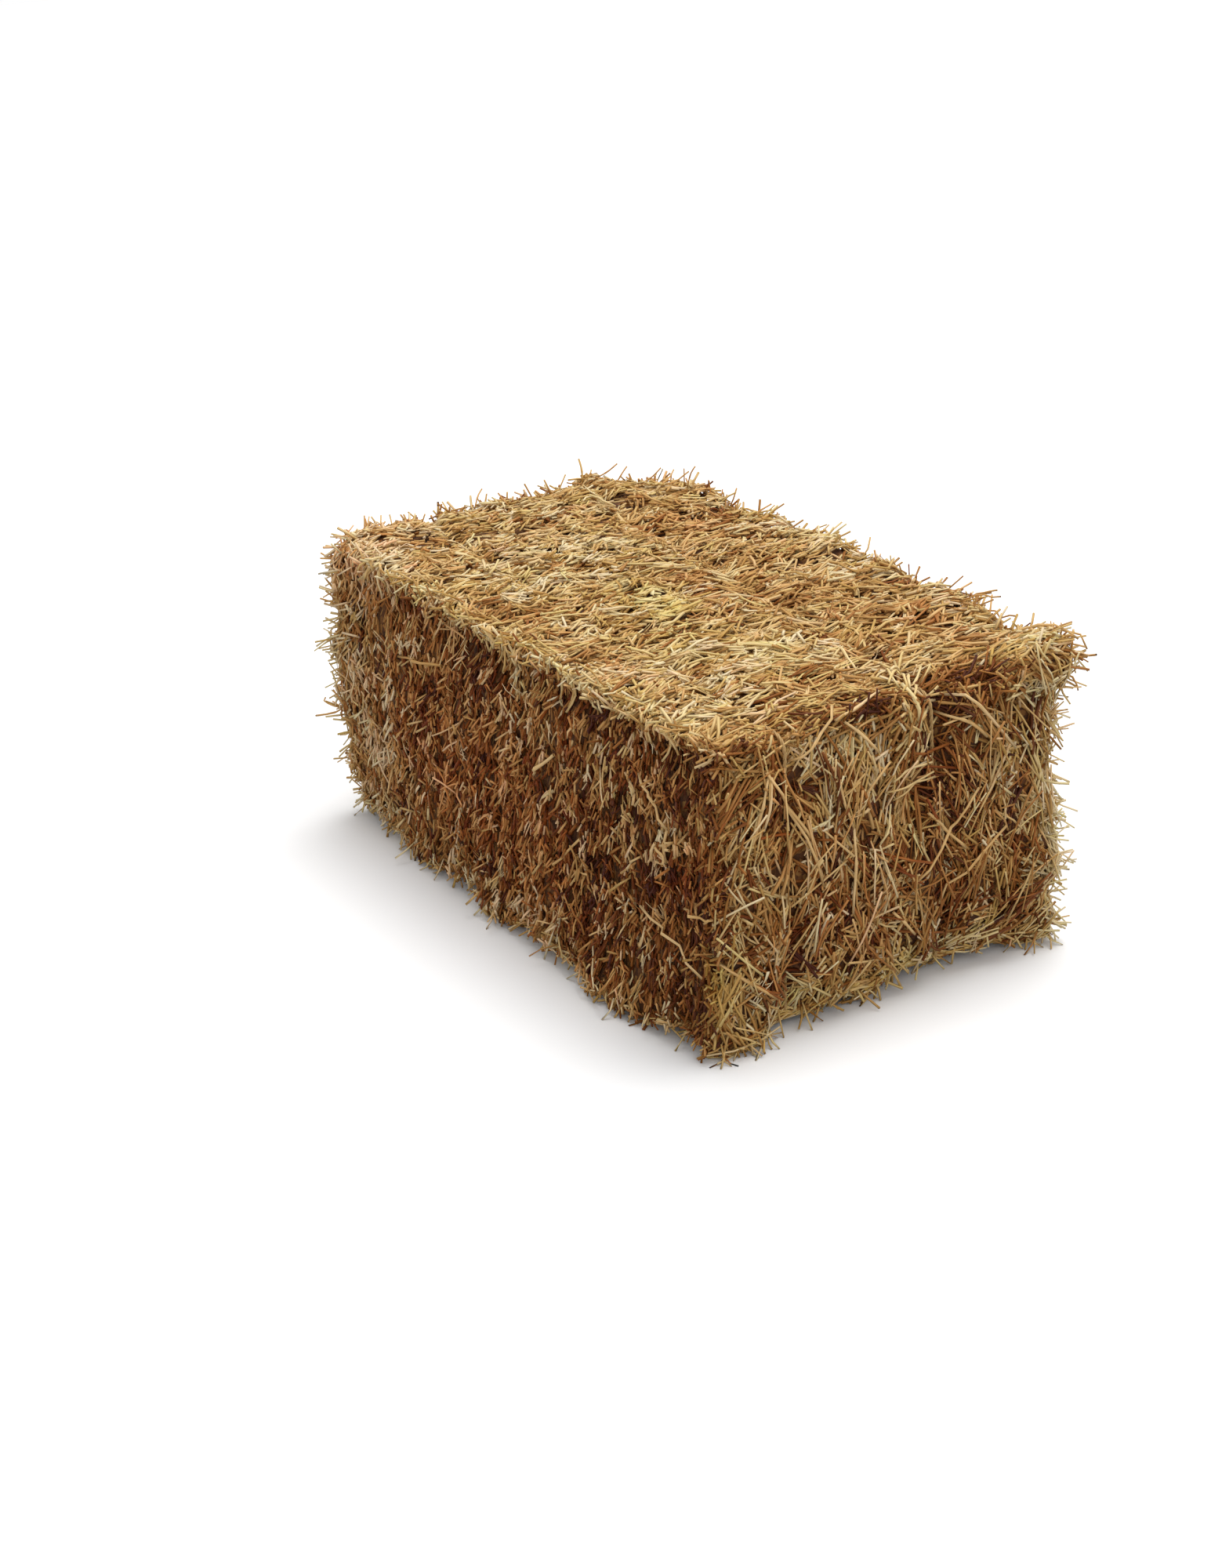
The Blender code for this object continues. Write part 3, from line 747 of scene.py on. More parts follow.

# Where the straw is paler or darker, and greener or redder: how much of each, in hundredths, then
# the place's centre and spread, in mm. Some places are the straw's own colour; many are painted
# light and shade, and the dark ones under overhangs, beside the twines and along the edges are
# painted shade.
TINT_AND_PAINTED_LIGHT_PATCHES = (
    # The top: a pale, greenish place in the middle, browner places round it, and a golden corner;
    # the dark places along its left and near edges are painted shade where it rolls over.
    (6, 22, 8, -47, 370, 70, 30, 100), (-5, 10, 100, -85, 370, 120, 50, 100),
    (16, 4, -160, -130, 370, 80, 90, 100), (22, 10, 197, -12, 370, 32, 30, 100),
    (5, 2, -120, 60, 370, 120, 40, 100), (24, 0, -190, -5, 370, 60, 65, 100),
    (18, 2, 285, -150, 370, 36, 36, 100), (-22, -2, 60, -240, 372, 110, 20, 20),
    (-36, 0, 0, -245, 368, 26, 22, 18), (-26, -4, 300, -245, 372, 30, 20, 16),
    (12, 4, 225, 0, 370, 20, 100, 100), (18, 4, 150, -110, 370, 36, 65, 100),
    (-6, 0, 235, -180, 370, 30, 50, 100), (12, 0, -75, -50, 370, 35, 60, 100),
    (14, 4, -80, 235, 370, 140, 30, 100), (5, 2, -300, 110, 370, 55, 100, 100),
    (-12, -4, 308, -60, 370, 30, 70, 100), (-9, -14, 20, 30, 370, 50, 25, 100),
    (-20, -4, 72, 70, 370, 30, 95, 100), (-20, -2, 235, 90, 370, 35, 70, 100),
    (-2, -12, 150, -200, 370, 35, 40, 100), (0, -12, -190, 160, 370, 50, 40, 100),
    (-5, -12, 230, 170, 370, 70, 40, 100), (-22, -6, -80, -212, 370, 75, 30, 100),
    (-22, -2, 85, -200, 370, 24, 26, 100), (-28, 0, 381, -100, 373, 24, 100, 12),
    (-17, 4, 388, -60, 362, 34, 200, 20), (-36, 0, 381, 110, 373, 26, 44, 14),
    (20, 4, 345, 46, 372, 26, 26, 14), (3, -16, -340, -230, 360, 80, 80, 60),
    (8, 12, 0, -255, 368, 500, 30, 12),
    # The left side: painted shade under the edge of the top, with pale tufts between, golden towards
    # its far end, and paler at the foot, partly as painted light against the shadow there; its other
    # darker and paler places are partly painted light and shade.
    (-3, -2, 200, -243, 310, 200, 40, 25), (-10, -6, -235, -250, 322, 35, 40, 20),
    (30, 0, -315, -250, 335, 45, 40, 35), (40, 10, 20, -255, 353, 320, 40, 13),
    (34, 20, 0, -250, 318, 30, 40, 16), (14, 4, -220, -250, 280, 70, 40, 18),
    (20, 12, 155, -255, 290, 30, 40, 30), (-8, 0, 160, -255, 215, 60, 50, 35),
    (36, 4, 300, -255, 240, 35, 50, 20), (-12, -16, 325, -255, 185, 45, 50, 26),
    (40, 32, 380, -250, 88, 28, 50, 30), (-12, -8, 300, -255, 280, 30, 50, 18),
    (16, 6, 380, -255, 275, 25, 50, 20), (16, 8, 80, -255, 245, 30, 50, 15),
    (-18, -2, 80, -255, 202, 30, 50, 18), (-14, -4, 150, -255, 80, 30, 50, 22),
    (-14, -5, 235, -250, 40, 30, 50, 20), (18, 0, -100, -250, 222, 35, 50, 26),
    (-20, -10, -170, -255, 210, 40, 50, 28), (-10, -6, 115, -255, 130, 50, 50, 65),
    (3, -16, -100, -255, 155, 220, 60, 95), (-12, -2, -90, -255, 275, 40, 50, 20),
    (-5, 0, 370, -255, 130, 35, 50, 60), (-22, -2, 376, -250, 42, 30, 50, 22),
    (-5, -2, -60, -250, 330, 50, 40, 16), (16, 0, -150, -250, 320, 35, 40, 18),
    (-16, 0, 100, -255, 328, 70, 40, 13), (22, 8, 152, -255, 350, 26, 40, 10),
    (-16, -4, 320, -265, 326, 70, 40, 13), (14, 2, -285, -250, 360, 22, 30, 12),
    (15, 2, -36, -250, 364, 26, 30, 12), (13, 2, 135, -255, 362, 22, 30, 10),
    (30, 10, -400, -243, 180, 130, 100, 220), (56, 4, -308, -250, 115, 40, 50, 30),
    (8, 2, -160, -243, 100, 90, 100, 70), (22, 8, -20, -250, 15, 380, 60, 28),
    (-4, 2, 250, -243, 150, 120, 100, 150),
    # The near end: painted shade beside the right twine and under the overhang of the top straws,
    # golden and greenish at its right and lower edges; many of its paler and darker places between
    # are painted light and shade.
    (-66, -3, 380, 124, 366, 32, 28, 20), (-12, -4, 388, 168, 308, 50, 28, 14),
    (7, 10, 388, 140, 338, 50, 45, 12), (30, 8, 375, 202, 382, 45, 34, 20),
    (-60, -2, 388, 56, 342, 50, 17, 34), (-24, -4, 388, 56, 250, 50, 24, 70),
    (-44, -4, 392, -45, 369, 28, 32, 14), (-12, -2, 392, -80, 352, 26, 44, 11),
    (24, 8, 388, -110, 323, 50, 40, 18), (30, 12, 388, -35, 318, 50, 60, 22),
    (26, 6, 388, -20, 252, 50, 38, 28), (26, 12, 388, 26, 208, 50, 30, 22),
    (24, 6, 388, 160, 222, 50, 22, 30), (18, 2, 388, -55, 180, 50, 35, 30),
    (-9, -6, 388, 52, 260, 100, 30, 110), (30, 6, 388, 120, 290, 50, 24, 20),
    (-20, -2, 388, 98, 236, 50, 30, 22), (-22, -6, 388, -235, 350, 60, 28, 16),
    (-24, -2, 388, -232, 282, 50, 22, 20), (24, 14, 388, -198, 322, 50, 22, 16),
    (-20, 2, 388, -250, 180, 50, 22, 40), (-16, -4, 388, -246, 85, 50, 22, 26),
    (-22, -8, 388, -136, 78, 50, 30, 18), (24, 6, 388, -122, 40, 50, 20, 16),
    (-24, 0, 388, -35, 46, 50, 22, 18), (42, 4, 388, -165, 195, 50, 30, 26),
    (20, 4, 388, -200, 140, 50, 26, 26), (-42, 6, 388, -250, 85, 50, 28, 45),
    (-20, 4, 388, -210, 300, 50, 30, 60), (34, 8, 388, -190, 34, 50, 32, 22),
    (-34, -8, 388, 100, 82, 50, 40, 24), (-28, -4, 388, 48, 165, 50, 28, 22),
    (-12, 0, 388, 200, 70, 50, 30, 35), (66, 10, 388, 204, 322, 50, 28, 20),
    (18, 4, 388, 198, 275, 50, 28, 18), (-12, -8, 388, -35, 88, 50, 36, 40),
    (-6, -2, 388, -125, 280, 50, 22, 20), (-12, -6, 388, -125, 110, 50, 26, 45),
    (18, 10, 388, -110, 35, 50, 34, 20), (14, 8, 388, 60, 30, 60, 110, 16),
    (60, 12, 388, 252, 140, 60, 36, 160), (6, 12, 388, 0, 30, 60, 150, 30),
)


@dataclass(frozen=True)
class LooseStalk:
    """One stalk that lies or stands clear of the rest."""

    side: Side
    start: Array
    end: Array
    rise_mm: Triple
    width_mm: float
    tone: float
    hue: float
    bow_mm: float = 0.0


TOP, LEFT, RIGHT, NEAR, FAR = Side.TOP, Side.LEFT, Side.RIGHT, Side.NEAR, Side.FAR

# The stalks that are placed one by one: the side, the start and the end on it, then how high the
# stalk stands at its start, middle and end, all in mm. Where they aren't the usual ones the width
# in mm, the tone and the hue in hundredths, and the bow in mm follow.
LOOSE_ROWS = (
    # The near end: long pale stalks over the tangle, and the fan from the left twine's pinch.
    (NEAR, -146, 328, -86, 378, 3, 10, 9, 3.2, 74, 42, -9), (TOP, 390, -88, 368, -16, 5, 8, 4, 3.2, 80),
    (NEAR, -77, 358, -36, 312, 3, 8, 4), (NEAR, 26, 376, 64, 352, 6, 9, 6, 3.4, 86),
    (NEAR, 66, 362, 158, 268, 5, 9, 4, 3.4, 82, 42, 6), (NEAR, -91, 299, -68, 235, 3, 5, 5, 3.2, 72),
    (NEAR, -68, 236, -65, 135, 5, 5, 3, 3.2, 80), (NEAR, 37, 225, 94, 168, 3, 6, 4),
    (NEAR, 110, 235, 20, 140, 3, 6, 2, 3.2, 68), (NEAR, -6, 118, 29, 80, 3, 6, 4, 3),
    (NEAR, -178, 328, -103, 176, 2, 6, 2, 3.2, 72, 42, 6), (NEAR, -174, 324, -200, 245, 2, 6, 3),
    (NEAR, -170, 321, -184, 263, 2, 7, 4, 3.2, 80), (NEAR, -160, 300, -120, 235, 2, 6, 2, 3.2, 70),
    (NEAR, 18, 384, 28, 322, 5, 8, 4, 5, 86, 62), (NEAR, -242, 384, -216, 334, 2, 8, 4, 3.4, 82, 42, -3),
    (LEFT, 380, 376, 352, 334, 2, 8, 5, 3.4, 80, 42, 6), (NEAR, 4, 380, 12, 334, 4, 7, 4, 3, 72, 60),
    (TOP, 382, 18, 302, 62, 5, 8, 3, 3, 78, 58), (TOP, 371, 10, 331, 26, 5, 9, 5, 2.8, 78, 60, 3),
    (TOP, 377, 22, 333, 56, 7, 12, 6, 3.2, 84, 56), (TOP, 364, 0, 342, 32, 6, 10, 8, 2.8, 76, 60),
    (TOP, 366, 38, 344, 64, 7, 12, 10, 2.8, 84, 56), (TOP, 388, 22, 360, 50, 6, 11, 7, 3, 80, 54),
    (TOP, 384, 38, 376, 68, 6, 9, 7, 2.8, 76, 52, -3), (TOP, 352, 30, 312, 34, 6, 9, 4, 2.6, 76, 60),
    (TOP, 346, 18, 334, 44, 8, 12, 8, 3.2, 86, 54), (TOP, 326, 46, 300, 76, 5, 9, 7, 2.8, 76, 60),
    (TOP, 233, 32, 310, 4, 1, 5, 2, 3, 82, 54), (NEAR, -14, 273, 40, 284, 4, 7, 6, 2.6, 78, 50),
    (NEAR, -21, 262, 50, 262, 4, 7, 5, 2.4, 74, 50), (NEAR, -10, 250, 46, 270, 3, 6, 5, 2.4, 70, 50),
    (NEAR, -230, 120, -160, 60, 3, 6, 4, 3.2, 70), (NEAR, 150, 180, 60, 110, 3, 6, 3, 3.2, 68),
    (NEAR, 60, 330, 120, 290, 3, 7, 3, 3.2, 72, 42, 5),
    # The left side: stalks across the stubs, and a tuft near the near end.
    (LEFT, 52, 216, 92, 255, 1, 6, 4, 3.8, 78), (LEFT, 247, 289, 304, 246, 1, 4, 4, 3.4),
    (LEFT, 304, 246, 300, 205, 4, 5, 2, 3.6, 76), (LEFT, 90, 115, 152, 178, 1, 5, 3, 3, 66),
    (LEFT, 265, 143, 376, 104, 2, 6, 6, 3.2, 78, 42, 3), (LEFT, 333, 167, 388, 171, 1, 4, 4, 3, 68),
    (LEFT, 290, 227, 276, 199, 2, 7, 9, 3.6, 80), (LEFT, 290, 222, 311, 210, 2, 7, 9, 3.6, 76),
    (LEFT, 296, 226, 322, 232, 2, 6, 8), (LEFT, -239, 261, -133, 286, 1, 5, 2, 3.2, 62),
    (LEFT, -44, 372, -34, 338, 2, 8, 6, 3.4, 80), (LEFT, 20, 368, 16, 334, 2, 8, 6, 3.2, 76),
    # Sprigs that stand clear of the outline: the far left, the right of the top, and the hump.
    (LEFT, -376, 148, -398, 124, 0, 24, 44, 2.6, 56), (LEFT, -380, 146, -404, 146, 0, 22, 38, 2.2, 60),
    (TOP, 226, 220, 282, 224, 0, 20, 36, 2.6, 60), (TOP, 205, 243, 232, 250, 0, 16, 30, 2.4, 62),
    (TOP, 245, 236, 297, 240, 2, 14, 22, 2.4, 62), (TOP, -300, 190, -280, 215, 0, 8, 20, 2.4, 60),
    (TOP, -290, 180, -305, 210, 0, 9, 20, 2.2, 64), (TOP, -366, 108, -374, 118, 0, 14, 28, 2.4, 58, 60),
    (TOP, -364, 106, -378, 94, 0, 10, 18, 2.2, 52), (TOP, -360, 130, -352, 156, 0, 12, 24, 2.2, 56),
    (TOP, -362, 160, -366, 182, 0, 12, 22, 2.2, 54), (TOP, -345, 185, -330, 208, 0, 10, 22, 2.2, 56),
    (TOP, -282, 214, -278, 220, 0, 15, 28, 2.2, 56), (TOP, -372, -46, -378, -24, 0, 12, 24, 2.2, 56),
    (TOP, -370, -205, -374, -198, 0, 10, 20, 2.2, 54), (RIGHT, 368, 335, 402, 344, 0, 13, 26, 2.6, 56),
    (RIGHT, 364, 318, 394, 306, 0, 10, 20, 2.4, 58), (RIGHT, 360, 280, 374, 248, 0, 8, 16, 2.4, 54),
    (TOP, 340, 225, 385, 262, 1, 10, 16, 3, 68), (TOP, 330, 205, 395, 240, 1, 8, 10, 3, 70),
)
USUAL_LOOKS = (3.2, 74, 42, 0)


def loose_stalk(side: Side, *numbers: float) -> LooseStalk:
    """Read one of the stalks that are placed one by one from its row.

    Args:
        side: the side that it lies on.
        numbers: the rest of the row.

    Returns:
        The stalk.
    """
    start, end = np.array(numbers[:2]) / MM, np.array(numbers[2:4]) / MM
    width, tone, hue, bow = (*numbers[7:], *USUAL_LOOKS[len(numbers) - 7 :])
    return LooseStalk(side, start, end, numbers[4:7], width, tone / HUNDREDTHS, hue / HUNDREDTHS, bow)


@dataclass(frozen=True)
class Tuft:
    """A bunch of pale stalks, cut and bent, that hangs over the edge of the top."""

    side: Side
    root: Pair
    drop: Pair = (0.002, -0.028)
    spread: Pair = (0.015, 0.004)
    count: int = 18
    drop_spread: Pair = (0.013, 0.009)
    middle_rise_mm: Pair = (4, 8)
    end_rise_mm: Pair = (4, 10)
    width_mm: float = 2.8
    look: Pair = (0.76, 0.50)
    look_spread: Pair = (0.08, 0.05)

    def stalks(self, rng: np.random.Generator) -> list[LooseStalk]:
        """Lay the bunch.

        Args:
            rng: the source of random numbers.

        Returns:
            Its stalks.
        """
        stalks = []
        for start in rng.normal(self.root, self.spread, (self.count, 2)):
            end = start + rng.normal(self.drop, self.drop_spread)
            rise = (1.0, rng.uniform(*self.middle_rise_mm), rng.uniform(*self.end_rise_mm))
            tone, hue = rng.normal(self.look, self.look_spread)
            stalks.append(LooseStalk(self.side, start, end, rise, self.width_mm, tone, hue))
        return stalks


TUFTS = (
    Tuft(LEFT, (-0.298, 0.368)),
    Tuft(LEFT, (-0.066, 0.374), count=24),
    Tuft(LEFT, (-0.022, 0.368)),
    Tuft(LEFT, (0.128, 0.362), drop=(0.006, -0.024)),
    Tuft(LEFT, (0.262, 0.366), drop=(0.004, -0.022), count=12),
    Tuft(RIGHT, (-0.210, 0.366)),
    Tuft(RIGHT, (0.050, 0.370), count=22),
    Tuft(RIGHT, (0.262, 0.362), count=14),
    Tuft(FAR, (-0.150, 0.366), count=14),
    Tuft(FAR, (0.060, 0.370), count=20),
)


@dataclass
class StrawBatch:
    """Many straws of one shape: the path that each follows, and how it looks."""

    shape: StalkShape
    path: Array
    out: Array
    width: Array
    thickness: Array
    roll: Array
    tint: Array

    def part(self, chosen: Array) -> "StrawBatch":
        """The straws that a mask chooses."""
        arrays = {k: v[chosen] for k, v in self.__dict__.items() if isinstance(v, Array)}
        return StrawBatch(self.shape, **arrays)

    @property
    def middle(self) -> Array:
        """The middle of each straw."""
        return self.path[:, self.path.shape[1] // 2]


@dataclass
class Lie:
    """How many straws lie on a side: each one's anchor there, its direction and its form.

    The anchor is the place along a straw, from 0 to 1, that is at its spot, and the depth is how
    far under the surface it lies there. The straw rises by its lift, and bows aside by its curl
    and up by its arch, which are shares of its length. It follows the surface from 0, for stiff
    and straight, to 1.
    """

    side: Side
    spots: Array
    ways: Array
    aside: Array
    length: Array
    anchor: Array
    depth: Array
    lift: Array
    curl: Array
    arch: Array
    follow: Array

    def lines(self, block: PressedBlock, stations: Array) -> tuple[Array, Array]:
        """Lay the middle lines of the straws.

        Args:
            block: the block that they lie on.
            stations: places along a straw, from 0 to 1, that get a point.

        Returns:
            The points of each line, and the direction out of the block at each point.
        """
        side, depth, feeler = self.side, self.depth[:, None], 0.003
        length, anchor, lift = self.length[:, None], self.anchor[:, None], self.lift[:, None]
        along = (stations - anchor) * length
        bow = (4 * stations * (1 - stations) - 4 * anchor * (1 - anchor)) * length
        forward = (along * np.cos(lift))[..., None]
        sideways = (bow * self.curl[:, None])[..., None]
        flat = self.spots[:, None] + self.ways[:, None] * forward + self.aside[:, None] * sideways
        heights = -depth + along * np.sin(lift) + bow * self.arch[:, None]
        laid, out = block.place(side, flat, heights)
        start, normal = block.place(side, self.spots, -self.depth)
        ahead, across = (
            unit(block.place(side, self.spots + way * feeler, -self.depth)[0] - start)[:, None]
            for way in (self.ways, self.aside)
        )
        straight = start[:, None] + ahead * forward + across * sideways
        straight = straight + normal[:, None] * (heights + depth)[..., None]
        return straight + (laid - straight) * self.follow[:, None, None], out


@dataclass
class StrawCoat:
    """Grows the layers of straw over the block."""

    block: PressedBlock
    shapes: dict[str, StalkShape]
    seed: int = 7
    tilt_deg: float = 4.0
    upward_share: float = 0.22
    place_scatter: float = 0.3
    end_sway: float = 0.25
    fan_reach: float = 0.15
    fan_hold: float = 0.8
    fan_push: float = 1.6
    flake_tone_spread: float = 0.05
    flake_lean_spread: float = 0.12
    flank_lean: float = 0.16
    painted_row_shade: float = 0.10
    hue_spread: float = 0.055
    lock_hue_spread: float = 0.062
    lit_depth: float = 0.002
    shaded_depth: float = 0.02
    painted_depth_shade: float = 6.0
    twine_cover: float = 0.0045
    loose_flatness: float = 0.8

    def __post_init__(self) -> None:
        """Start the random draws, and give each flake its own tone and lean."""
        self.rng = np.random.default_rng(self.seed)
        count = len(self.block.flake_names)
        self.flake_tone = self.rng.normal(0, self.flake_tone_spread, count)
        self.flake_lean = self.rng.normal(0, self.flake_lean_spread, count)
        self.tint_and_painted_light_patches = soft_places(TINT_AND_PAINTED_LIGHT_PATCHES, HUNDREDTHS, MM)

    def flake_of(self, points: Array) -> Array:
        """The number of the flake that each point belongs to."""
        return np.searchsorted(self.block.seams, points[:, 0])

    def draw(self, bounds: Pair, count: int) -> Array:
        """Even random numbers between two bounds."""
        return self.rng.uniform(*bounds, count)

    def either_way(self, count: int, share: float = 0.5) -> Array:
        """A column of signs, of which a share is negative."""
        return np.where(self.rng.random(count) < share, -1.0, 1.0)[:, None]

    def spread_places(self, count: int) -> Array:
        """Spread pairs of numbers evenly, by a step that shows no grid.

        Args:
            count: how many.

        Returns:
            The pairs, from 0 to 1, one a row.
        """
        # One over the plastic number, and over its square.
        steps = np.array([0.7548776662, 0.5698402910])
        places = (self.rng.random(2) + np.arange(count)[:, None] * steps) % 1.0
        return places + self.rng.normal(0, self.place_scatter / math.sqrt(count), (count, 2))

    def headings(self, layer: StrawLayer, side: Side, spots: Array) -> Array:
        """The way the straws of a layer lie on a side, before their scatter.

        Args:
            layer: the layer.
            side: the side of the block.
            spots: where the straws lie, from the middle of the side.

        Returns:
            Unit directions along the side's two axes.
        """
        count = len(spots)
        ways = np.zeros((count, 2))
        if layer.grain is Grain.ACROSS:
            tilt = math.radians(self.tilt_deg)
            ways[:] = (math.sin(tilt), math.cos(tilt))
            ways *= self.either_way(count)
        elif layer.grain is Grain.HANGING:
            ways[:, 0] = self.flake_lean[self.flake_of(spots)] + self.flank_lean
            ways[:, 1] = -1
            ways *= self.either_way(count, self.upward_share)
        elif layer.grain is Grain.OUTWARD:
            room = self.block.sizes[side.spans] / 2 - np.abs(spots)
            nearest = room.argmin(1)
            row = np.arange(count)
            ways[row, nearest] = np.sign(spots[row, nearest])
        else:
            ways[:, 0] = self.end_sway * np.sin(21 * spots[:, 0] + 1) * np.sin(17 * spots[:, 1])
            ways[:, 1] = -1
            ways = self.fanned(side, spots, ways)
        return unit(ways)

    def fanned(self, side: Side, spots: Array, ways: Array) -> Array:
        """Turn straws near a pinch of the twine so that they fan out from it.

        Args:
            side: the end of the block.
            spots: where the straws lie.
            ways: the directions so far.

        Returns:
            The turned directions.
        """
        half = self.block.height / 2
        for route in self.block.routes:
            top, foot = (route.near_top, route.near_foot) if side is Side.NEAR else (route.far,) * 2
            for pinch, sense in (((top, half), 1.0), ((foot, -half), -1.0)):
                away = spots - np.array(pinch)
                reach = np.linalg.norm(away, axis=1)
                share = np.exp(-((reach / self.fan_reach) ** 2))[:, None]
                ways = ways * (1 - self.fan_hold * share) + sense * unit(away) * share * self.fan_push
        return ways

    def spots_over(self, layer: StrawLayer, side: Side, lock: Array, locks: int) -> Array:
        """Spread the straws of a layer over a side, lock by lock, or along its edges.

        Args:
            layer: the layer.
            side: the side of the block.
            lock: the number of the lock that each straw belongs to.
            locks: how many locks there are.

        Returns:
            Where each straw is anchored, from the middle of the side.
        """
        sizes = self.block.sizes[side.spans]
        half = sizes / 2
        count = len(lock)
        if layer.border_mm is None:
            centres = (self.spread_places(locks) - 0.5) * sizes
            spots = centres[lock] + self.rng.normal(0, layer.lock_reach_mm / MM, (count, 2))
            return np.where(np.abs(spots) > half, np.sign(spots) * (2 * half - np.abs(spots)), spots)
        column = (self.rng.random(count) < sizes[0] / sizes.sum()).astype(int)
        spots = (self.rng.random((count, 2)) - 0.5) * sizes
        row = np.arange(count)
        inset = self.draw(layer.border_mm, count) / MM
        spots[row, column] = np.sign(spots[row, column]) * (half[column] - inset)
        return spots

    def grow(self, layer: StrawLayer, side: Side) -> StrawBatch:
        """Grow one layer on one side.

        Args:
            layer: the layer.
            side: the side of the block.

        Returns:
            The straws.
        """
        rng = self.rng
        sizes = self.block.sizes[side.spans]
        count = int(layer.per_square_metre * sizes.prod())
        locks = max(1, count // layer.lock_size)
        lock = np.arange(count) % locks
        spots = self.spots_over(layer, side, lock, locks)

        turn = rng.normal(0, math.radians(layer.lock_scatter_deg), locks)[lock]
        turn += rng.normal(0, math.radians(layer.scatter_deg), count)
        ways = self.headings(layer, side, spots)
        ways, aside = turned(ways, np.stack([-ways[:, 1], ways[:, 0]], 1), turn)
        length = self.draw(layer.length_mm, count) / MM
        length *= 1 - layer.far_shortening * (0.5 - spots[:, 0] / sizes[0])
        anchor = self.draw(layer.anchor, count)
        allowed = sizes / 2 + self.draw(layer.overhang_mm, count)[:, None] / MM
        waves = np.sin(95 * spots[:, 0] + 1) + np.sin(57 * spots[:, 0] + 2) + np.sin(88 * spots[:, 1])
        allowed = allowed + (layer.scallop_mm / 2 / MM * waves)[:, None]
        for share in (-anchor, 1 - anchor):
            tip = spots + ways * (share * length)[:, None]
            spots = spots - np.sign(tip) * np.maximum(np.abs(tip) - allowed, 0)
        depth = self.draw(layer.depth_mm, count) / MM
        depth += rng.normal(0, layer.lock_depth_mm / MM, locks)[lock]
        lift = np.radians(rng.normal(*layer.lift_deg, count))
        curl = rng.normal(0, layer.curl, locks)[lock] + rng.normal(0, layer.curl / 2, count)
        arch = rng.normal(0, layer.arch, count)
        follow = self.draw(layer.follow, count)
        lie = Lie(side, spots, ways, aside, length, anchor, depth, lift, curl, arch, follow)
        shape = self.shapes[layer.shape]
        path, out = lie.lines(self.block, shape.stations)

        width = self.draw(layer.width_mm, count) / MM
        tone = rng.normal(*layer.tone, count) + rng.normal(0, layer.lock_tone, locks)[lock]
        hue = layer.hue + rng.normal(0, self.hue_spread, count)
        hue = hue + rng.normal(0, self.lock_hue_spread, locks)[lock]
        roll = rng.normal(0, math.radians(layer.roll_deg), count)
        tint = np.stack([tone, hue, rng.random(count)], 1)
        batch = StrawBatch(shape, path, out, width, width * layer.flatness, roll, tint)
        tint[:, 0] += self.flake_tone[self.flake_of(batch.middle)]
        # Painted shade: straws that lie deeper are painted darker.
        tint[:, 0] -= np.clip(depth - self.lit_depth, 0, self.shaded_depth) * self.painted_depth_shade
        # Painted shade: stubs in the valleys between the rows are painted darker, and those on the crests
        # paler.
        if layer.grain is Grain.HANGING:
            tint[:, 0] += self.painted_row_shade * (0.5 - self.block.rows(batch.middle))
        # Patches: the straw's own colour in some places, painted light and shade in others.
        for patch in self.tint_and_painted_light_patches:
            tint[:, :2] += patch.amount * patch.share(batch.middle)[:, None]
        batch.tint = np.clip(tint, 0, 1)
        return batch.part(~self.over_twine(path)) if side in BARE else batch

    def over_twine(self, path: Array) -> Array:
        """Find the straws of the far end or the foot that would cover a twine.

        Args:
            path: the middle line of each straw.

        Returns:
            Whether each covers a twine.
        """
        stations = np.linspace(0, path.shape[1] - 1, 13)
        first = np.minimum(stations.astype(int), path.shape[1] - 2)
        share = (stations - first)[:, None]
        places = path[:, first] * (1 - share) + path[:, first + 1] * share
        flat = places.reshape(-1, 3)
        clear = self.block.twine_clear
        far = flat[:, 0] < clear - self.block.length / 2
        low = flat[:, 2] < clear / 2
        over = (np.abs(self.block.twine_offset(flat)) < self.twine_cover) & (far | low)
        return over.reshape(places.shape[:2]).any(1)

    def loose(self) -> StrawBatch:
        """Lay the stalks that are placed one by one, and the tufts.

        Returns:
            All of them.
        """
        shape = self.shapes["whole_stalk"]
        share = shape.stations[:, None]
        middle = (0, self.block.height / 2)
        tufted = [stalk for tuft in TUFTS for stalk in tuft.stalks(self.rng)]
        stalks = [*(loose_stalk(*row) for row in LOOSE_ROWS), *tufted]
        laid = []
        for stalk in stalks:
            start, end = stalk.start, stalk.end
            if stalk.side.spans[1] == 2:
                start, end = start - middle, end - middle
            along = unit(end - start)
            bow = np.array((-along[1], along[0])) * (4 * share * (1 - share)) * stalk.bow_mm / MM
            rises = np.interp(shape.stations, (0, 0.5, 1), stalk.rise_mm) / MM
            laid.append(self.block.place(stalk.side, start + (end - start) * share + bow, rises))
        path, out = (np.array(part) for part in zip(*laid))
        width = np.array([stalk.width_mm / MM for stalk in stalks])
        tint = np.array([(stalk.tone, stalk.hue, self.rng.random()) for stalk in stalks])
        thickness, roll = width * self.loose_flatness, np.zeros(len(width))
        return StrawBatch(shape, path, out, width, thickness, roll, tint)

    def all_batches(self) -> list[StrawBatch]:
        """Grow every layer on its sides, and lay the loose stalks."""
        grown = [self.grow(layer, side) for layer in LAYERS for side in layer.sides]
        return [*grown, self.loose()]


# ---- Finishes ----


def new_material(name: str, roughness: float) -> tuple[Material, NodeTree, Node]:
    """Make a material.

    Args:
        name: its name.
        roughness: its shader's roughness, where no pattern changes it.

    Returns:
        The material, its node tree and its shader.
    """
    material = bpy.data.materials.new(name)
    material.use_nodes = True
    shader = material.node_tree.nodes["Principled BSDF"]
    shader.inputs["Roughness"].default_value = roughness
    return material, material.node_tree, shader


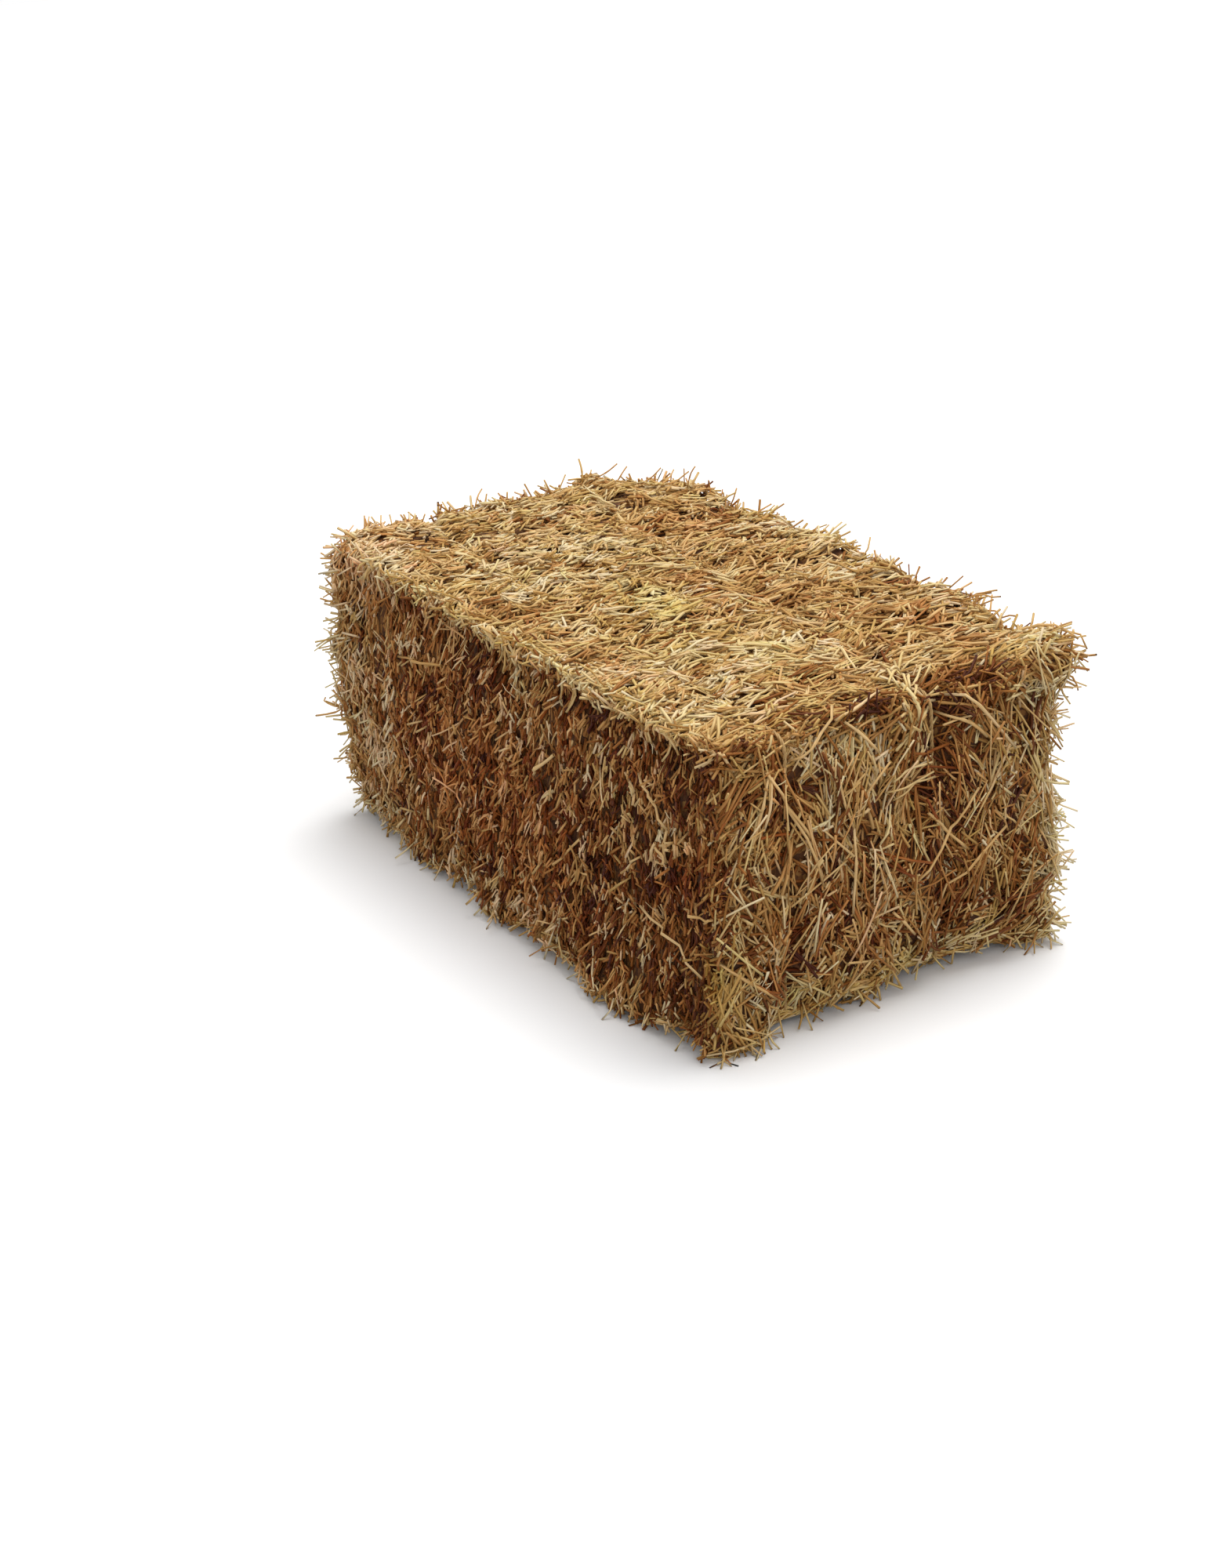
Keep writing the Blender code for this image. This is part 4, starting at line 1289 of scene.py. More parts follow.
@dataclass(frozen=True)
class Finish:
    """What the finishes share: a pattern gives a tone, and its height gives the bump."""

    name: str
    tones: tuple[tuple[float, str], ...]
    roughness: float
    bump: Pair

    def pattern(self, tree: NodeTree) -> tuple[NodeSocket, NodeSocket]:
        """Add the pattern.

        Args:
            tree: the material's node tree.

        Returns:
            The sockets of the pattern's tone and of its height.
        """
        raise NotImplementedError

    def coloured(self, tree: NodeTree, colour: NodeSocket) -> NodeSocket:
        """Change the colour that the tone has given; most finishes leave it."""
        return colour

    def skin_noise(self, tree: NodeTree, scale_mm: Pair, apart: float, **detail: float) -> NodeSocket:
        """Add a noise that is drawn out along each strand's skin, as fibres and stains are.

        Args:
            tree: the node tree that gets it.
            scale_mm: how long the noise runs along the strand and round it.
            apart: how far apart the noise is taken for two strands.
            detail: the noise node's own inputs.

        Returns:
            The socket of the noise.
        """
        run_mm, across_mm = scale_mm
        skin = add_node(tree, "Attribute", {"attribute_name": "skin"})
        scale = add_node(
            tree, "VectorMath", {"operation": "MULTIPLY"},
            {0: skin.outputs["Vector"], 1: (MM / run_mm, MM / across_mm, apart)},
        )
        noise = add_node(tree, "TexNoise", inputs={"Vector": scale.outputs[0], "Scale": 1.0, **detail})
        return noise.outputs["Fac"]

    def build(self) -> Material:
        """Make the material.

        Returns:
            The material.
        """
        material, tree, shader = new_material(self.name, self.roughness)
        tone, height = self.pattern(tree)
        ramp = add_node(tree, "ValToRGB", inputs={"Fac": tone})
        set_ramp(ramp, self.tones)
        tree.links.new(self.coloured(tree, ramp.outputs["Color"]), shader.inputs["Base Color"])
        strength, distance = self.bump
        bump = add_node(tree, "Bump", inputs={"Strength": strength, "Distance": distance, "Height": height})
        tree.links.new(bump.outputs["Normal"], shader.inputs["Normal"])
        return material


@dataclass(frozen=True)
class StrawFinish(Finish):
    """Ripe cereal straw, dried in the field.

    The stalk's waxy skin gives a soft gloss, and fine fibres run along it. Its colour goes from
    umber, in old and damp stalks and where its tone carries painted shade, to pale cream.
    """

    name: str = "cereal_straw_dried"
    tones: tuple[tuple[float, str], ...] = (
        (0.00, "451c0a"), (0.22, "7b4317"), (0.36, "a16930"), (0.46, "b1834b"),
        (0.60, "cea564"), (0.78, "e2c58d"), (1.00, "efdcb6"),
    )
    roughness: float = 0.58
    gloss: Pair = (0.48, 0.68)
    gloss_fibres: Pair = (0.3, 0.7)
    sheen: float = 0.2
    bump: Pair = (0.35, 0.0004)
    red: str = "c8824a"
    green: str = "b6bb7e"
    plain_hue: float = 0.5
    hue_ends: Pair = (0.15, 0.85)
    hue_strength: float = 0.6
    fibre_mm: Pair = (14.0, 0.5)
    fibre_contrast: float = 0.17
    stain_mm: Pair = (30.0, 7.0)
    stain_contrast: float = 0.32

    def tint(self, tree: NodeTree, axis: str) -> NodeSocket:
        """The tone, as X, or the hue, as Y, that each straw was given."""
        tint = add_node(tree, "Attribute", {"attribute_name": "tint"})
        return add_node(tree, "SeparateXYZ", inputs={0: tint.outputs["Vector"]}).outputs[axis]

    def pattern(self, tree: NodeTree) -> tuple[NodeSocket, NodeSocket]:
        """Add fibres and stains to each straw's tone, and let the fibres break up the gloss.

        Args:
            tree: the material's node tree.

        Returns:
            The sockets of the tone and of the fibres' height.
        """
        fibres = self.skin_noise(tree, self.fibre_mm, apart=60.0, Detail=3.0, Roughness=0.6)
        stains = self.skin_noise(tree, self.stain_mm, apart=90.0, Detail=1.0)
        tone = self.tint(tree, "X")
        for noise, contrast in ((fibres, self.fibre_contrast), (stains, self.stain_contrast)):
            shift = add_node(
                tree, "Math", {"operation": "MULTIPLY_ADD"}, {0: noise, 1: contrast, 2: -contrast / 2}
            )
            total = add_node(tree, "Math", {"operation": "ADD"}, {0: tone, 1: shift.outputs[0]})
            tone = total.outputs[0]
        ends = dict(enumerate((*self.gloss_fibres, *self.gloss), 1))
        gloss = add_node(tree, "MapRange", inputs={"Value": fibres, **ends})
        shader = tree.nodes["Principled BSDF"]
        tree.links.new(gloss.outputs[0], shader.inputs["Roughness"])
        shader.inputs["Specular IOR Level"].default_value = self.sheen
        return tone, fibres

    def coloured(self, tree: NodeTree, colour: NodeSocket) -> NodeSocket:
        """Redden the straws whose hue is low, and green those whose hue is high.

        Args:
            tree: the material's node tree.
            colour: the socket of the tone's colour.

        Returns:
            The socket of the new colour.
        """
        hue = self.tint(tree, "Y")
        for far_end, code in zip(self.hue_ends, (self.red, self.green)):
            red, green, blue, alpha = hex_rgb(code)
            top = max(red, green, blue)
            amount = add_node(
                tree, "MapRange",
                inputs={"Value": hue, 1: self.plain_hue, 2: far_end, 3: 0.0, 4: self.hue_strength},
            )
            mix = add_node(
                tree, "Mix", {"data_type": "RGBA", "blend_type": "MULTIPLY"},
                {"Factor": amount.outputs[0], 6: colour, 7: (red / top, green / top, blue / top, alpha)},
            )
            colour = mix.outputs[2]
        return colour


@dataclass(frozen=True)
class ChaffFinish(Finish):
    """Matted chaff and broken straw between the stalks: dull, and dark partly with dust and partly as
    painted shade in the gaps between the stalks.

    Each chip is one cell of its own tone, longer along the bale's width and height.
    """

    name: str = "matted_chaff"
    tones: tuple[tuple[float, str], ...] = (
        (0.00, "341908"), (0.45, "5c3515"), (0.80, "8d5f2c"), (1.00, "b98c4d")
    )
    roughness: float = 0.85
    bump: Pair = (0.8, -0.002)
    bit_mm: Triple = (2.6, 9.0, 9.0)

    def pattern(self, tree: NodeTree) -> tuple[NodeSocket, NodeSocket]:
        """Add the chips.

        Args:
            tree: the material's node tree.

        Returns:
            The sockets of the chips' own tones and of the way from their middles.
        """
        place = add_node(tree, "TexCoord")
        scale = add_node(
            tree, "Mapping",
            inputs={"Vector": place.outputs["Object"], "Scale": tuple(MM / size for size in self.bit_mm)},
        )
        bits = add_node(
            tree, "TexVoronoi", inputs={"Vector": scale.outputs[0], "Scale": 1.0, "Randomness": 1.0}
        )
        return bits.outputs["Color"], bits.outputs["Distance"]


@dataclass(frozen=True)
class SisalFinish(Finish):
    """Sisal baler twine, spun in one hard strand and laid up: dull gold, hairy and dusty."""

    name: str = "laid_sisal"
    tones: tuple[tuple[float, str], ...] = ((0.25, "7a5a30"), (0.50, "b8925a"), (0.75, "dfc594"))
    roughness: float = 0.78
    bump: Pair = (0.5, 0.0003)
    fibre_mm: Pair = (8.0, 0.35)

    def pattern(self, tree: NodeTree) -> tuple[NodeSocket, NodeSocket]:
        """Add the fibres."""
        fibres = self.skin_noise(tree, self.fibre_mm, apart=40.0, Detail=3.0, Roughness=0.6)
        return fibres, fibres


# ---- Flakes ----


@dataclass
class MeshRun:
    """A run of geometry, with its look and its places on the map.

    The loops are the points at the faces' corners, counted from 0, and each corner has its place
    in a cell of the map and the number, from 0, of the straw that owns it, or -1 for the pad.
    """

    points: Array
    loops: Array
    sizes: Array
    smooth: Array
    slots: Array
    tint: Array
    skin: Array
    cell: Array
    owner: Array


@dataclass
class JoinedMesh:
    """Runs of geometry that grow into one piece of many straws and, last, a pad."""

    ground: float = 0.0008
    cell_aspect: float = 3.5
    pad_share: float = 0.12
    pad_gap: float = 0.04
    cell_margin: float = 0.08
    runs: list[MeshRun] = field(default_factory=list)
    total: int = 0
    straws: int = 0

    def add(self, run: MeshRun) -> None:
        """Add a run, and count its points and straws on from those before it.

        Args:
            run: the run, counted from 0, which is changed.
        """
        own = int(run.owner.max()) + 1
        run.loops = run.loops + self.total
        run.owner = np.where(run.owner < 0, -1, run.owner + self.straws)
        self.total += len(run.points)
        self.straws += own
        self.runs.append(run)

    def stamp(self, batch: StrawBatch) -> None:
        """Stamp a batch of straws into the mesh.

        Args:
            batch: the straws.
        """
        shape = batch.shape
        count, each = len(batch.path), len(shape.points)
        if count == 0:
            return
        ahead = unit(np.gradient(batch.path, axis=1))
        side = unit(np.cross(batch.out, ahead))
        across, lifted = turned(side, np.cross(ahead, side), batch.roll[:, None])
        across = across * batch.width[:, None, None] / 2
        lifted = lifted * batch.thickness[:, None, None] / 2
        points = shape.weights @ batch.path
        points += (shape.weights @ across) * shape.points[:, 1, None]
        points += (shape.weights @ lifted) * shape.points[:, 2, None]
        points[..., 2] = np.maximum(points[..., 2], self.ground)
        tint = np.repeat(batch.tint[:, None], each, axis=1)
        # Painted shade on the floors of the open ends.
        tint[..., 0] *= shape.painted_shade
        length = np.linalg.norm(np.diff(batch.path, axis=1), axis=2).sum(1)
        around = np.arctan2(shape.points[:, 2], shape.points[:, 1]) / 2
        skin = np.empty((count, each, 3))
        skin[..., 0] = length[:, None] * shape.points[:, 0]
        skin[..., 1] = batch.width[:, None] * around
        skin[..., 2] = batch.tint[:, 2:3]
        self.add(MeshRun(
            points=points.reshape(-1, 3),
            loops=(shape.loops[None] + (np.arange(count) * each)[:, None]).ravel(),
            sizes=np.tile(shape.face_sizes, count),
            smooth=np.tile(shape.smooth, count),
            slots=np.zeros(count * len(shape.face_sizes)),
            tint=tint.reshape(-1, 3),
            skin=skin.reshape(-1, 3),
            cell=np.tile(shape.cell, (count, 1)),
            owner=np.repeat(np.arange(count), len(shape.loops)),
        ))

    def whole(self, name: str, kind: type = np.float32) -> Array:
        """One of the arrays, from all of the runs."""
        return np.concatenate([getattr(run, name) for run in self.runs]).astype(kind)

    def map_places(self) -> Array:
        """Lay out the map: a cell for each straw, and a band for the pad.

        Returns:
            The place of each corner.
        """
        cell, owner = self.whole("cell", float), self.whole("owner", int)
        columns = max(1, math.ceil(math.sqrt(self.straws / self.cell_aspect)))
        rows = math.ceil(self.straws / columns)
        corner = np.stack([owner % columns, owner // columns], 1)
        inset = self.cell_margin + (1 - 2 * self.cell_margin) * cell
        straw = (corner + inset) / (columns, rows)
        straw[:, 1] = self.pad_share + (1 - self.pad_share) * straw[:, 1]
        pad = cell * (1, self.pad_share * (1 - self.pad_gap))
        return np.where(owner[:, None] < 0, pad, straw)

    def build(self, name: str) -> Mesh:
        """Join everything into a mesh.

        Args:
            name: the mesh's name.

        Returns:
            The mesh.
        """
        loops, sizes = self.whole("loops", np.int32), self.whole("sizes", np.int32)
        starts = np.concatenate([[0], np.cumsum(sizes)[:-1]]).astype(np.int32)
        mesh = bpy.data.meshes.new(name)
        mesh.vertices.add(self.total)
        mesh.vertices.foreach_set("co", self.whole("points").ravel())
        mesh.loops.add(len(loops))
        mesh.loops.foreach_set("vertex_index", loops)
        mesh.polygons.add(len(sizes))
        mesh.polygons.foreach_set("loop_start", starts)
        mesh.polygons.foreach_set("use_smooth", self.whole("smooth", bool))
        mesh.polygons.foreach_set("material_index", self.whole("slots", np.int32))
        for attribute in ("tint", "skin"):
            data = mesh.attributes.new(attribute, "FLOAT_VECTOR", "POINT").data
            data.foreach_set("vector", self.whole(attribute).ravel())
        layer = mesh.uv_layers.new(name="OFBake")
        layer.data.foreach_set("uv", self.map_places().astype(np.float32).ravel())
        mesh.update(calc_edges=True)
        return mesh

    def release(self, name: str, node: str, slot: str, *finishes: Material) -> None:
        """Make the mesh a piece that rides on the bale and stands for a node.

        Args:
            name: the piece's name.
            node: the node that it stands for.
            slot: not used.
            finishes: its materials.
        """
        mesh = self.build(name)
        for finish in finishes:
            mesh.materials.append(finish)
        piece = bpy.data.objects.new(name, mesh)
        bpy.context.scene.collection.objects.link(piece)
        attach(piece, "root")
        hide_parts(node)
        triangles = int((self.whole("sizes", int) - 2).sum())
        LOG.info("%s: %d strands, %d triangles", name, self.straws, triangles)


@dataclass
class FlakeDresser:
    """Builds each flake's piece: its pad of matted chaff, and the straws that stand on it."""

    block: PressedBlock
    straw: Material
    chaff: Material
    pad_inset: float = 0.010
    pad_steps: tuple[int, int, int] = (4, 26, 20)
    pad_tint: float = 0.2

    def pad(self, index: int, parts: JoinedMesh) -> None:
        """Add a flake's closed pad of matted chaff.

        Args:
            index: the flake's number from the far end.
            parts: the mesh that grows.
        """
        block = self.block
        last = index == len(block.flake_names) - 1
        far = block.seams[index - 1] if index else -block.length / 2
        near = block.length / 2 if last else block.seams[index]
        lows = np.array([far, -block.width / 2, 0.0])
        highs = np.array([near, block.width / 2, block.height])
        obj = add_primitive(
            bpy.ops.mesh.primitive_cube_add,
            size=1,
            location=tuple((lows + highs) / 2),
            scale=tuple(highs - lows),
        )
        for axis, steps in enumerate(self.pad_steps):
            for step in range(1, steps):
                cut_across(axis, lows[axis] + (highs[axis] - lows[axis]) * step / steps)
        for face_x, hidden in ((far, index > 0), (near, not last)):
            if hidden:
                select_parts(obj, "FACE", lies_at(face_x))
                bpy.ops.mesh.dissolve_faces()
        bpy.ops.object.mode_set(mode="OBJECT")
        mesh = obj.data
        sharp, loops, faces = mesh_arrays(mesh)
        laid, _ = block.lay(sharp, np.full(len(sharp), -self.pad_inset))
        if index:
            laid[:, 0] = np.maximum(laid[:, 0], far)
        if not last:
            laid[:, 0] = np.minimum(laid[:, 0], near)
        laid[:, 2] = np.maximum(laid[:, 2], parts.ground)
        normals = np.repeat(np.array([p.normal for p in mesh.polygons]), faces, axis=0)
        parts.add(MeshRun(
            points=laid,
            loops=loops,
            sizes=faces,
            smooth=np.full(len(faces), True),
            slots=np.ones(len(faces)),
            tint=np.full((len(laid), 3), self.pad_tint),
            skin=laid,
            cell=self.pad_cells((sharp[loops] - lows) / (highs - lows), normals),
            owner=np.full(len(loops), -1),
        ))
        bpy.data.objects.remove(obj)

    @staticmethod
    def pad_cells(share: Array, normals: Array) -> Array:
        """Unfold a pad's six sides next to each other.

        Args:
            share: the place of each corner of each face in the pad, from 0 to 1 on each axis.
            normals: the normal at each corner.

        Returns:
            A place from 0 to 1 for each corner.
        """
        rim, edge = 0.04, 0.03
        axis = np.abs(normals).argmax(1)
        row = np.arange(len(share))
        number = axis * 2 + (normals[row, axis] > 0)
        first, second = share[row, (axis + 1) % 3], share[row, (axis + 2) % 3]
        across = (number + rim + (1 - 2 * rim) * first) / 6
        return np.stack([across, edge + (1 - 2 * edge) * second], 1)

    def dress(self, index: int, batches: list[StrawBatch]) -> None:
        """Build one flake's piece.

        Args:
            index: the flake's number from the far end.
            batches: the straws that belong to it.
        """
        name = self.block.flake_names[index]
        parts = JoinedMesh()
        for batch in batches:
            parts.stamp(batch)
        self.pad(index, parts)
        parts.release(f"{name}_straw", name, "straw", self.straw, self.chaff)


# ---- Twines ----


def headed(line: Array, closed: bool) -> Array:
    """The direction of a line at each of its points."""
    steps = np.roll(line, -1, axis=0) - np.roll(line, 1, axis=0) if closed else np.gradient(line, axis=0)
    return unit(steps)


def run_along(line: Array) -> Array:
    """How far each point of a line is along it."""
    return np.concatenate([[0], np.cumsum(np.linalg.norm(np.diff(line, axis=0), axis=1))])


def carried_frames(line: Array, closed: bool) -> tuple[Array, Array]:
    """Find two directions square to a line that turn as little as they can along it.

    Args:
        line: the points of the line.
        closed: whether its end joins its start.

    Returns:
        The two directions at each point.
    """
    ahead = headed(line, closed)
    across = np.empty_like(line)
    # Any direction will do that no line starts in.
    side = np.cross(ahead[0], (0.31, 0.90, 0.29))
    for k, way in enumerate(ahead):
        side = unit(side - way * (side @ way))
        across[k] = side
    up = np.cross(ahead, across)
    if not closed:
        return across, up
    last = unit(side - ahead[0] * (side @ ahead[0]))
    gap = math.atan2(last @ up[0], last @ across[0])
    return turned(across, up, -gap * np.arange(len(line)) / len(line))


@dataclass
class Twine:
    """A loop of three-ply sisal twine round the bale, with its knot and tails on the far end."""

    block: PressedBlock
    route: TwineRoute
    hair: StalkShape
    sisal: Material
    bend: float = 0.022
    bend_points: int = 12
    sunk: float = 0.009
    near_foot_drawn: float = 0.018
    step: float = 0.004
    ply_radius: float = 0.00112
    ply_gap: float = 1.06
    plies: int = 3
    ply_sides: int = 6
    lay_length: float = 0.024
    knot_lay_length: float = 0.012
    rings_per_cell: int = 40
    knot_height: float = 0.215
    knot_reach: Triple = (0.0043, 0.0054, 0.0078)
    knot_clear: float = 0.001
    knot_points: int = 72
    tail: float = 0.029
    tail_leans: tuple[Pair, ...] = ((-0.45, -0.54), (0.35, 0.42))
    tail_sag: float = 0.006
    tail_spread: float = 1.8
    hairs_per_metre: float = 90.0
    hair_mm: Pair = (5.0, 12.0)
    hair_width: float = 0.00045
    hair_root_way: Pair = (0.85, 0.35)
    hair_tip_way: Pair = (0.6, 0.8)
    sisal_tint: float = 0.5
    hair_tint: float = 0.7

    def corners(self) -> Array:
        """Find where the twine turns over the edges of the bale.

        Returns:
            The four places, in order.
        """
        far_x = self.sunk - self.block.length / 2
        near_x = self.block.length / 2 - self.sunk
        top_z, foot_z = self.block.height - self.sunk, self.sunk / 2
        route = self.route
        return np.array([
            (far_x, route.far, top_z),
            (near_x, route.near_top, top_z),
            (near_x - self.near_foot_drawn, route.near_foot, foot_z),
            (far_x, route.far, foot_z),
        ])

    def loop(self) -> Array:
        """Lead the twine round the bale.

        Returns:
            Its closed centre line, in even steps.
        """
        corners = self.corners()
        share = np.linspace(0, 1, self.bend_points)[:, None]
        rough = []
        for k, corner in enumerate(corners):
            start = corner + unit(corners[k - 1] - corner) * self.bend
            end = corner + unit(corners[(k + 1) % 4] - corner) * self.bend
            first, second = start + (corner - start) * share, corner + (end - corner) * share
            rough.append(first + (second - first) * share)
        ring = np.concatenate([*rough, rough[0][:1]])
        place = run_along(ring)
        count = round(place[-1] / self.step)
        want = np.arange(count) * place[-1] / count
        return np.stack([np.interp(want, place, ring[:, k]) for k in range(3)], 1)

    def knot_place(self) -> Array:
        """Find the middle of the knot, on the twine's run down the far end.

        Returns:
            The place.
        """
        top, _, _, foot = self.corners()
        share = (self.knot_height - foot[2]) / (top[2] - foot[2])
        return foot + (top - foot) * share - (self.knot_reach[0] / 2 + self.knot_clear, 0, 0)

    def knot(self) -> Array:
        """Tie the overhand knot.

        Returns:
            Its closed centre line.
        """
        turn = np.linspace(0, math.tau, self.knot_points, endpoint=False)
        x = -np.sin(3 * turn)
        y = (np.sin(turn) + 2 * np.sin(2 * turn)) / 3
        z = (np.cos(turn) - 2 * np.cos(2 * turn)) / 3
        return self.knot_place() + np.stack([x, y, z], 1) * self.knot_reach

    def tail_line(self, lean: Pair) -> Array:
        """Lead one cut tail out of the knot.

        Args:
            lean: how far it leans across and up, for each step away from the bale.

        Returns:
            Its centre line.
        """
        share = np.linspace(0, 1, self.bend_points)[:, None]
        aim = unit(np.array((-1.0, *lean)))
        sag = np.array((0, 0, -self.tail_sag)) * share**2
        return self.knot_place() + aim * self.tail * share + sag

    def lay_plies(
        self, parts: JoinedMesh, line: Array, closed: bool, lay_length: float, open_end: float = 0.0
    ) -> None:
        """Lay the twine's plies round a centre line, and add them to the mesh.

        Args:
            parts: the mesh that grows.
            line: the centre line.
            closed: whether its end joins its start.
            lay_length: the length of one turn of the lay.
            open_end: how much wider the plies spread at the end of a cut tail.
        """
        place = run_along(line)
        whole = place[-1] + (np.linalg.norm(line[0] - line[-1]) if closed else 0)
        turns = max(1, round(whole / lay_length)) if closed else whole / lay_length
        across, up = carried_frames(line, closed)
        orbit = self.ply_radius * self.ply_gap * (1 + open_end * (place / whole) ** 2)
        for ply in range(self.plies):
            way, _ = turned(across, up, math.tau * (turns * place / whole + ply / self.plies))
            self.strand(parts, line + way * orbit[:, None], closed, ply)

    def strand(self, parts: JoinedMesh, line: Array, closed: bool, number: int) -> None:
        """Add one round strand to the mesh.

        Args:
            parts: the mesh that grows.
            line: its centre line.
            closed: whether its end joins its start.
            number: the ply's number, which sets its pattern apart.
        """
        sides, rings = self.ply_sides, len(line)
        across, up = carried_frames(line, closed)
        angle = math.tau * np.arange(sides) / sides
        ring, _ = turned(across[:, None], up[:, None], angle[None])
        points = (line[:, None] + ring * self.ply_radius).reshape(-1, 3)
        spans = rings if closed else rings - 1
        first, flat = (grid.ravel() for grid in np.mgrid[:spans, :sides])
        next_flat, next_ring = (flat + 1) % sides, (first + 1) % rings
        quads = [first * sides + flat, first * sides + next_flat]
        quads += [next_ring * sides + next_flat, next_ring * sides + flat]
        start = (first % self.rings_per_cell) / self.rings_per_cell
        end = start + 1 / self.rings_per_cell
        low, high = flat / sides, (flat + 1) / sides
        cell = np.stack([start, low, start, high, end, high, end, low], -1).reshape(-1, 2)
        owner = np.repeat(first // self.rings_per_cell, 4)
        loops = np.stack(quads, -1).ravel()
        sizes = np.full(spans * sides, 4)
        smooth = np.full(spans * sides, True)
        if not closed:
            around = np.arange(sides)
            cap = 0.5 + 0.5 * np.stack([np.cos(angle), np.sin(angle)], 1)
            loops = np.concatenate([loops, around[::-1], (rings - 1) * sides + around])
            sizes = np.concatenate([sizes, [sides, sides]])
            smooth = np.concatenate([smooth, [False, False]])
            cell = np.concatenate([cell, cap[::-1], cap])
            owner = np.concatenate([owner, np.repeat(owner.max() + (1, 2), sides)])
        skin = np.empty((rings, sides, 3))
        skin[..., 0] = np.arange(rings)[:, None] * self.step
        skin[..., 1] = angle * self.ply_radius
        skin[..., 2] = number
        tint = np.full((len(points), 3), self.sisal_tint)
        slots = np.zeros(len(sizes))
        parts.add(MeshRun(points, loops, sizes, smooth, slots, tint, skin.reshape(-1, 3), cell, owner))

    def hairs(self, line: Array, rng: np.random.Generator) -> StrawBatch:
        """Let loose fibres stand out of the lay.

        Args:
            line: the twine's centre line.
            rng: the source of the random draws.

        Returns:
            The fibres.
        """
        count = int(self.hairs_per_metre * len(line) * self.step)
        spot = rng.integers(0, len(line), count)
        ahead = headed(line, True)[spot]
        ahead *= np.where(rng.random(count) < 0.5, -1.0, 1.0)[:, None]
        aside = unit(np.cross(ahead, rng.normal(0, 1, (count, 3))))
        length = rng.uniform(*self.hair_mm, count)[:, None] / MM
        root = line[spot] + aside * self.ply_radius
        (on, off), (tip_on, tip_off) = self.hair_root_way, self.hair_tip_way
        middle = root + (ahead * on + aside * off) * length / 2
        tip = middle + (ahead * tip_on + aside * tip_off) * length / 2
        path, out = np.stack([root, middle, tip], 1), np.repeat(aside[:, None], 3, axis=1)
        width, tint = np.full(count, self.hair_width), np.full((count, 3), self.hair_tint)
        return StrawBatch(self.hair, path, out, width, width, np.zeros(count), tint)

    def dress(self, rng: np.random.Generator) -> None:
        """Build the twine's piece.

        Args:
            rng: the source of the random draws.
        """
        parts = JoinedMesh()
        line = self.loop()
        self.lay_plies(parts, line, True, self.lay_length)
        self.lay_plies(parts, self.knot(), True, self.knot_lay_length)
        for lean in self.tail_leans:
            self.lay_plies(parts, self.tail_line(lean), False, self.lay_length, self.tail_spread)
        parts.stamp(self.hairs(line, rng))
        parts.release(f"{self.route.name}_sisal", self.route.name, "twine", self.sisal)


# ---- The studio ----


def seen_directly(tree: NodeTree) -> NodeSocket:
    """Tell where the camera sees a surface itself, in a mirror or through glass.

    Args:
        tree: the node tree that gets the nodes.

    Returns:
        A socket that is 1 there, and 0 elsewhere.
    """
    path = add_node(tree, "LightPath")
    total = path.outputs["Is Camera Ray"]
    for name in ("Is Glossy Ray", "Is Transmission Ray"):
        either = add_node(tree, "Math", {"operation": "MAXIMUM"}, {0: total, 1: path.outputs[name]})
        total = either.outputs[0]
    return total


@dataclass(frozen=True)
class FloorFinish:
    """Matt floor paint: nearly white to the eye, and greyer in the light that it casts back."""

    name: str = "painted_floor"
    cast: str = "a0a09c"
    seen: str = "fafafa"
    roughness: float = 0.9

    def build(self) -> Material:
        """Make the material.

        Returns:
            The material.
        """
        material, tree, shader = new_material(self.name, self.roughness)
        mix = add_node(
            tree, "Mix", {"data_type": "RGBA"},
            {"Factor": seen_directly(tree), 6: hex_rgb(self.cast), 7: hex_rgb(self.seen)},
        )
        tree.links.new(mix.outputs[2], shader.inputs["Base Color"])
        return material


